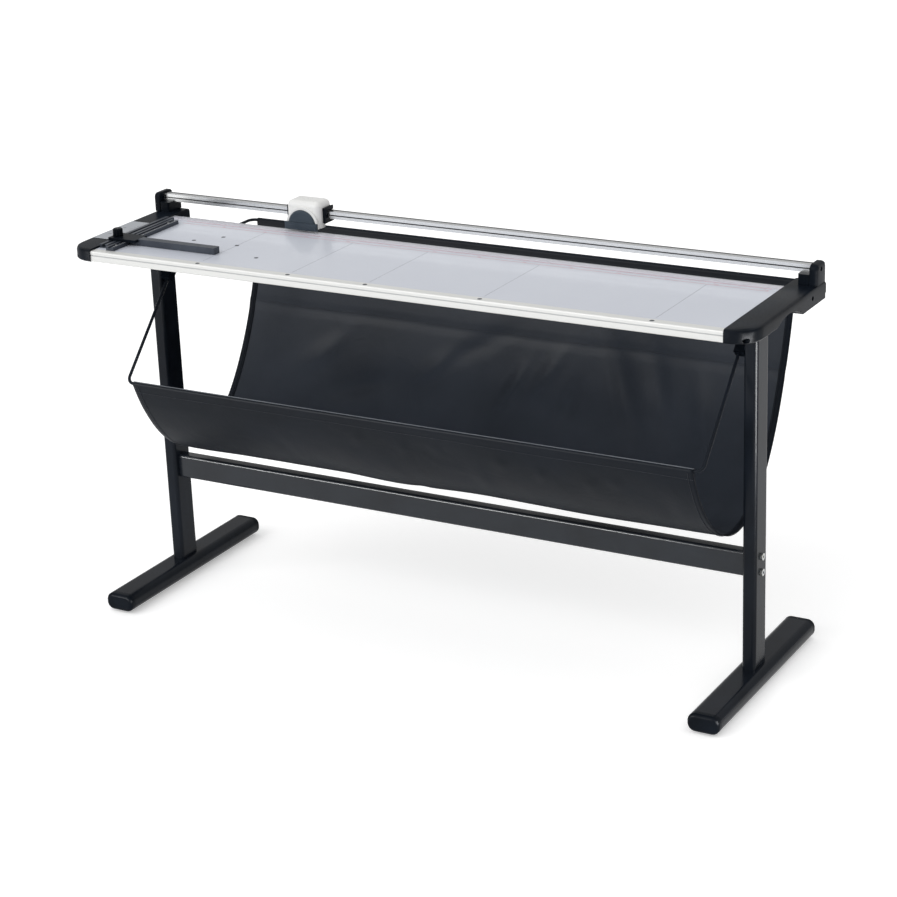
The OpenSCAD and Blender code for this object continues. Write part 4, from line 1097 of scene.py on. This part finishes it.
@dataclass
class Studio:
    """Pale floor, soft light and the camera."""

    lens_mm: float = 97.347
    sensor_mm: float = 36.0
    clip_end: float = 200.0
    place: Triple = (2.2808, -3.97328, 2.0679)
    yaw: float = 29.976
    pitch: float = 20.29
    roll: float = -2.217
    floor_colour: str = "#FBFBFB"
    floor_roughness: float = 0.9
    floor_glow: float = 0.34
    floor_half: float = 60.0
    # Strength of the sky low down and high up, and the heights between which it changes
    sky: Pair = (0.48, 0.85)
    sky_heights: Pair = (0.15, 0.8)
    sun: float = 1.2
    sun_width: float = 60.0
    sun_turn: Triple = (60.0, 0.0, -25.0)
    cards: tuple[Card, ...] = (
        Card("side_reflector", (1.75, -0.85, 0.32), (90, 0, 90), (1.3, 0.6), 110,
             ("right_column", "right_foot_tube", "right_end_block", "right_rail_cheek", "foot_end_caps")),
        Card("front_reflector", (-1.18, -2.0, 0.55), (90, 0, 0), (1.8, 0.4), 90,
             ("crossbar", "left_column", "right_column", "left_foot_tube", "right_foot_tube",
              "left_end_block", "right_end_block", "foot_end_caps", "bag_sheet")))

    def build(self) -> None:
        """Set up the camera, the light and the floor."""
        bpy.context.scene.view_settings.view_transform = "Standard"
        self.camera()
        self.light()
        self.floor()
        LOG.info("studio is set")

    def camera(self) -> None:
        """Set the camera where the picture was taken from."""
        yaw, pitch, roll = (math.radians(v) for v in (self.yaw, self.pitch, self.roll))
        lens = bpy.data.cameras.new("camera")
        lens.sensor_width = self.sensor_mm
        lens.lens = self.lens_mm
        lens.clip_end = self.clip_end
        camera = put("camera", lens)
        turn = Matrix.Rotation(yaw, 4, "Z") @ Matrix.Rotation(math.pi / 2 - pitch, 4, "X")
        camera.matrix_world = Matrix.Translation(self.place) @ turn @ Matrix.Rotation(roll, 4, "Z")
        bpy.context.scene.camera = camera

    def light(self) -> None:
        """Add a sky that pales upwards, a soft sun and the reflector cards."""
        world = bpy.data.worlds.new("studio")
        bpy.context.scene.world = world
        world.use_nodes = True
        tree = world.node_tree
        tree.nodes.clear()
        place = add_node(tree, "TexCoord")
        split = add_node(tree, "SeparateXYZ", {}, {"Vector": (place, "Generated")})
        level = add_node(tree, "MapRange",
                         {"From Min": self.sky_heights[0], "From Max": self.sky_heights[1],
                          "To Min": self.sky[0], "To Max": self.sky[1]}, {"Value": (split, "Z")})
        sky = add_node(tree, "Background", {"Color": (1, 1, 1, 1)}, {"Strength": (level, "Result")})
        add_node(tree, "OutputWorld", {}, {"Surface": (sky, "Background")})
        sun = bpy.data.lights.new("soft_sun", "SUN")
        sun.energy = self.sun
        sun.angle = math.radians(self.sun_width)
        put("soft_sun", sun).rotation_euler = [math.radians(v) for v in self.sun_turn]
        for card in self.cards:
            card.build()

    def floor(self) -> None:
        """Lay the pale floor that takes the shadow, with a glow for all that sees or mirrors it."""
        paint = bpy.data.materials.new("matt_floor_paint")
        paint.use_nodes = True
        tree = paint.node_tree
        shader = tree.nodes["Principled BSDF"]
        for socket, value in {"Base Color": linear(self.floor_colour), "Roughness": self.floor_roughness,
                              "Specular IOR Level": 0.0, "Emission Color": (1, 1, 1, 1)}.items():
            shader.inputs[socket].default_value = value
        path = add_node(tree, "LightPath")
        seen = (path, "Is Camera Ray")
        for ray in ("Is Glossy Ray", "Is Transmission Ray"):
            total = add_node(tree, "Math", {"operation": "ADD", "use_clamp": True}, {0: seen, 1: (path, ray)})
            seen = (total, "Value")
        glow = add_node(tree, "Math", {"operation": "MULTIPLY", 1: self.floor_glow}, {0: seen})
        tree.links.new(glow.outputs["Value"], shader.inputs["Emission Strength"])
        mesh = bpy.data.meshes.new("studio_floor")
        half = self.floor_half
        mesh.from_pydata(
            [(-half, -half, 0), (half, -half, 0), (half, half, 0), (-half, half, 0)], [], [(0, 1, 2, 3)])
        mesh.materials.append(paint)
        put("studio_floor", mesh)


def main() -> None:
    """Build the cutter's looks, one sub-assembly after another."""
    logging.basicConfig(level=logging.INFO)
    for part in (Solids(), TablePrint(), PLATE_PRINT, RULER_PRINT, CatchBag(), Studio()):
        part.build()


if __name__ == "__main__":
    main()
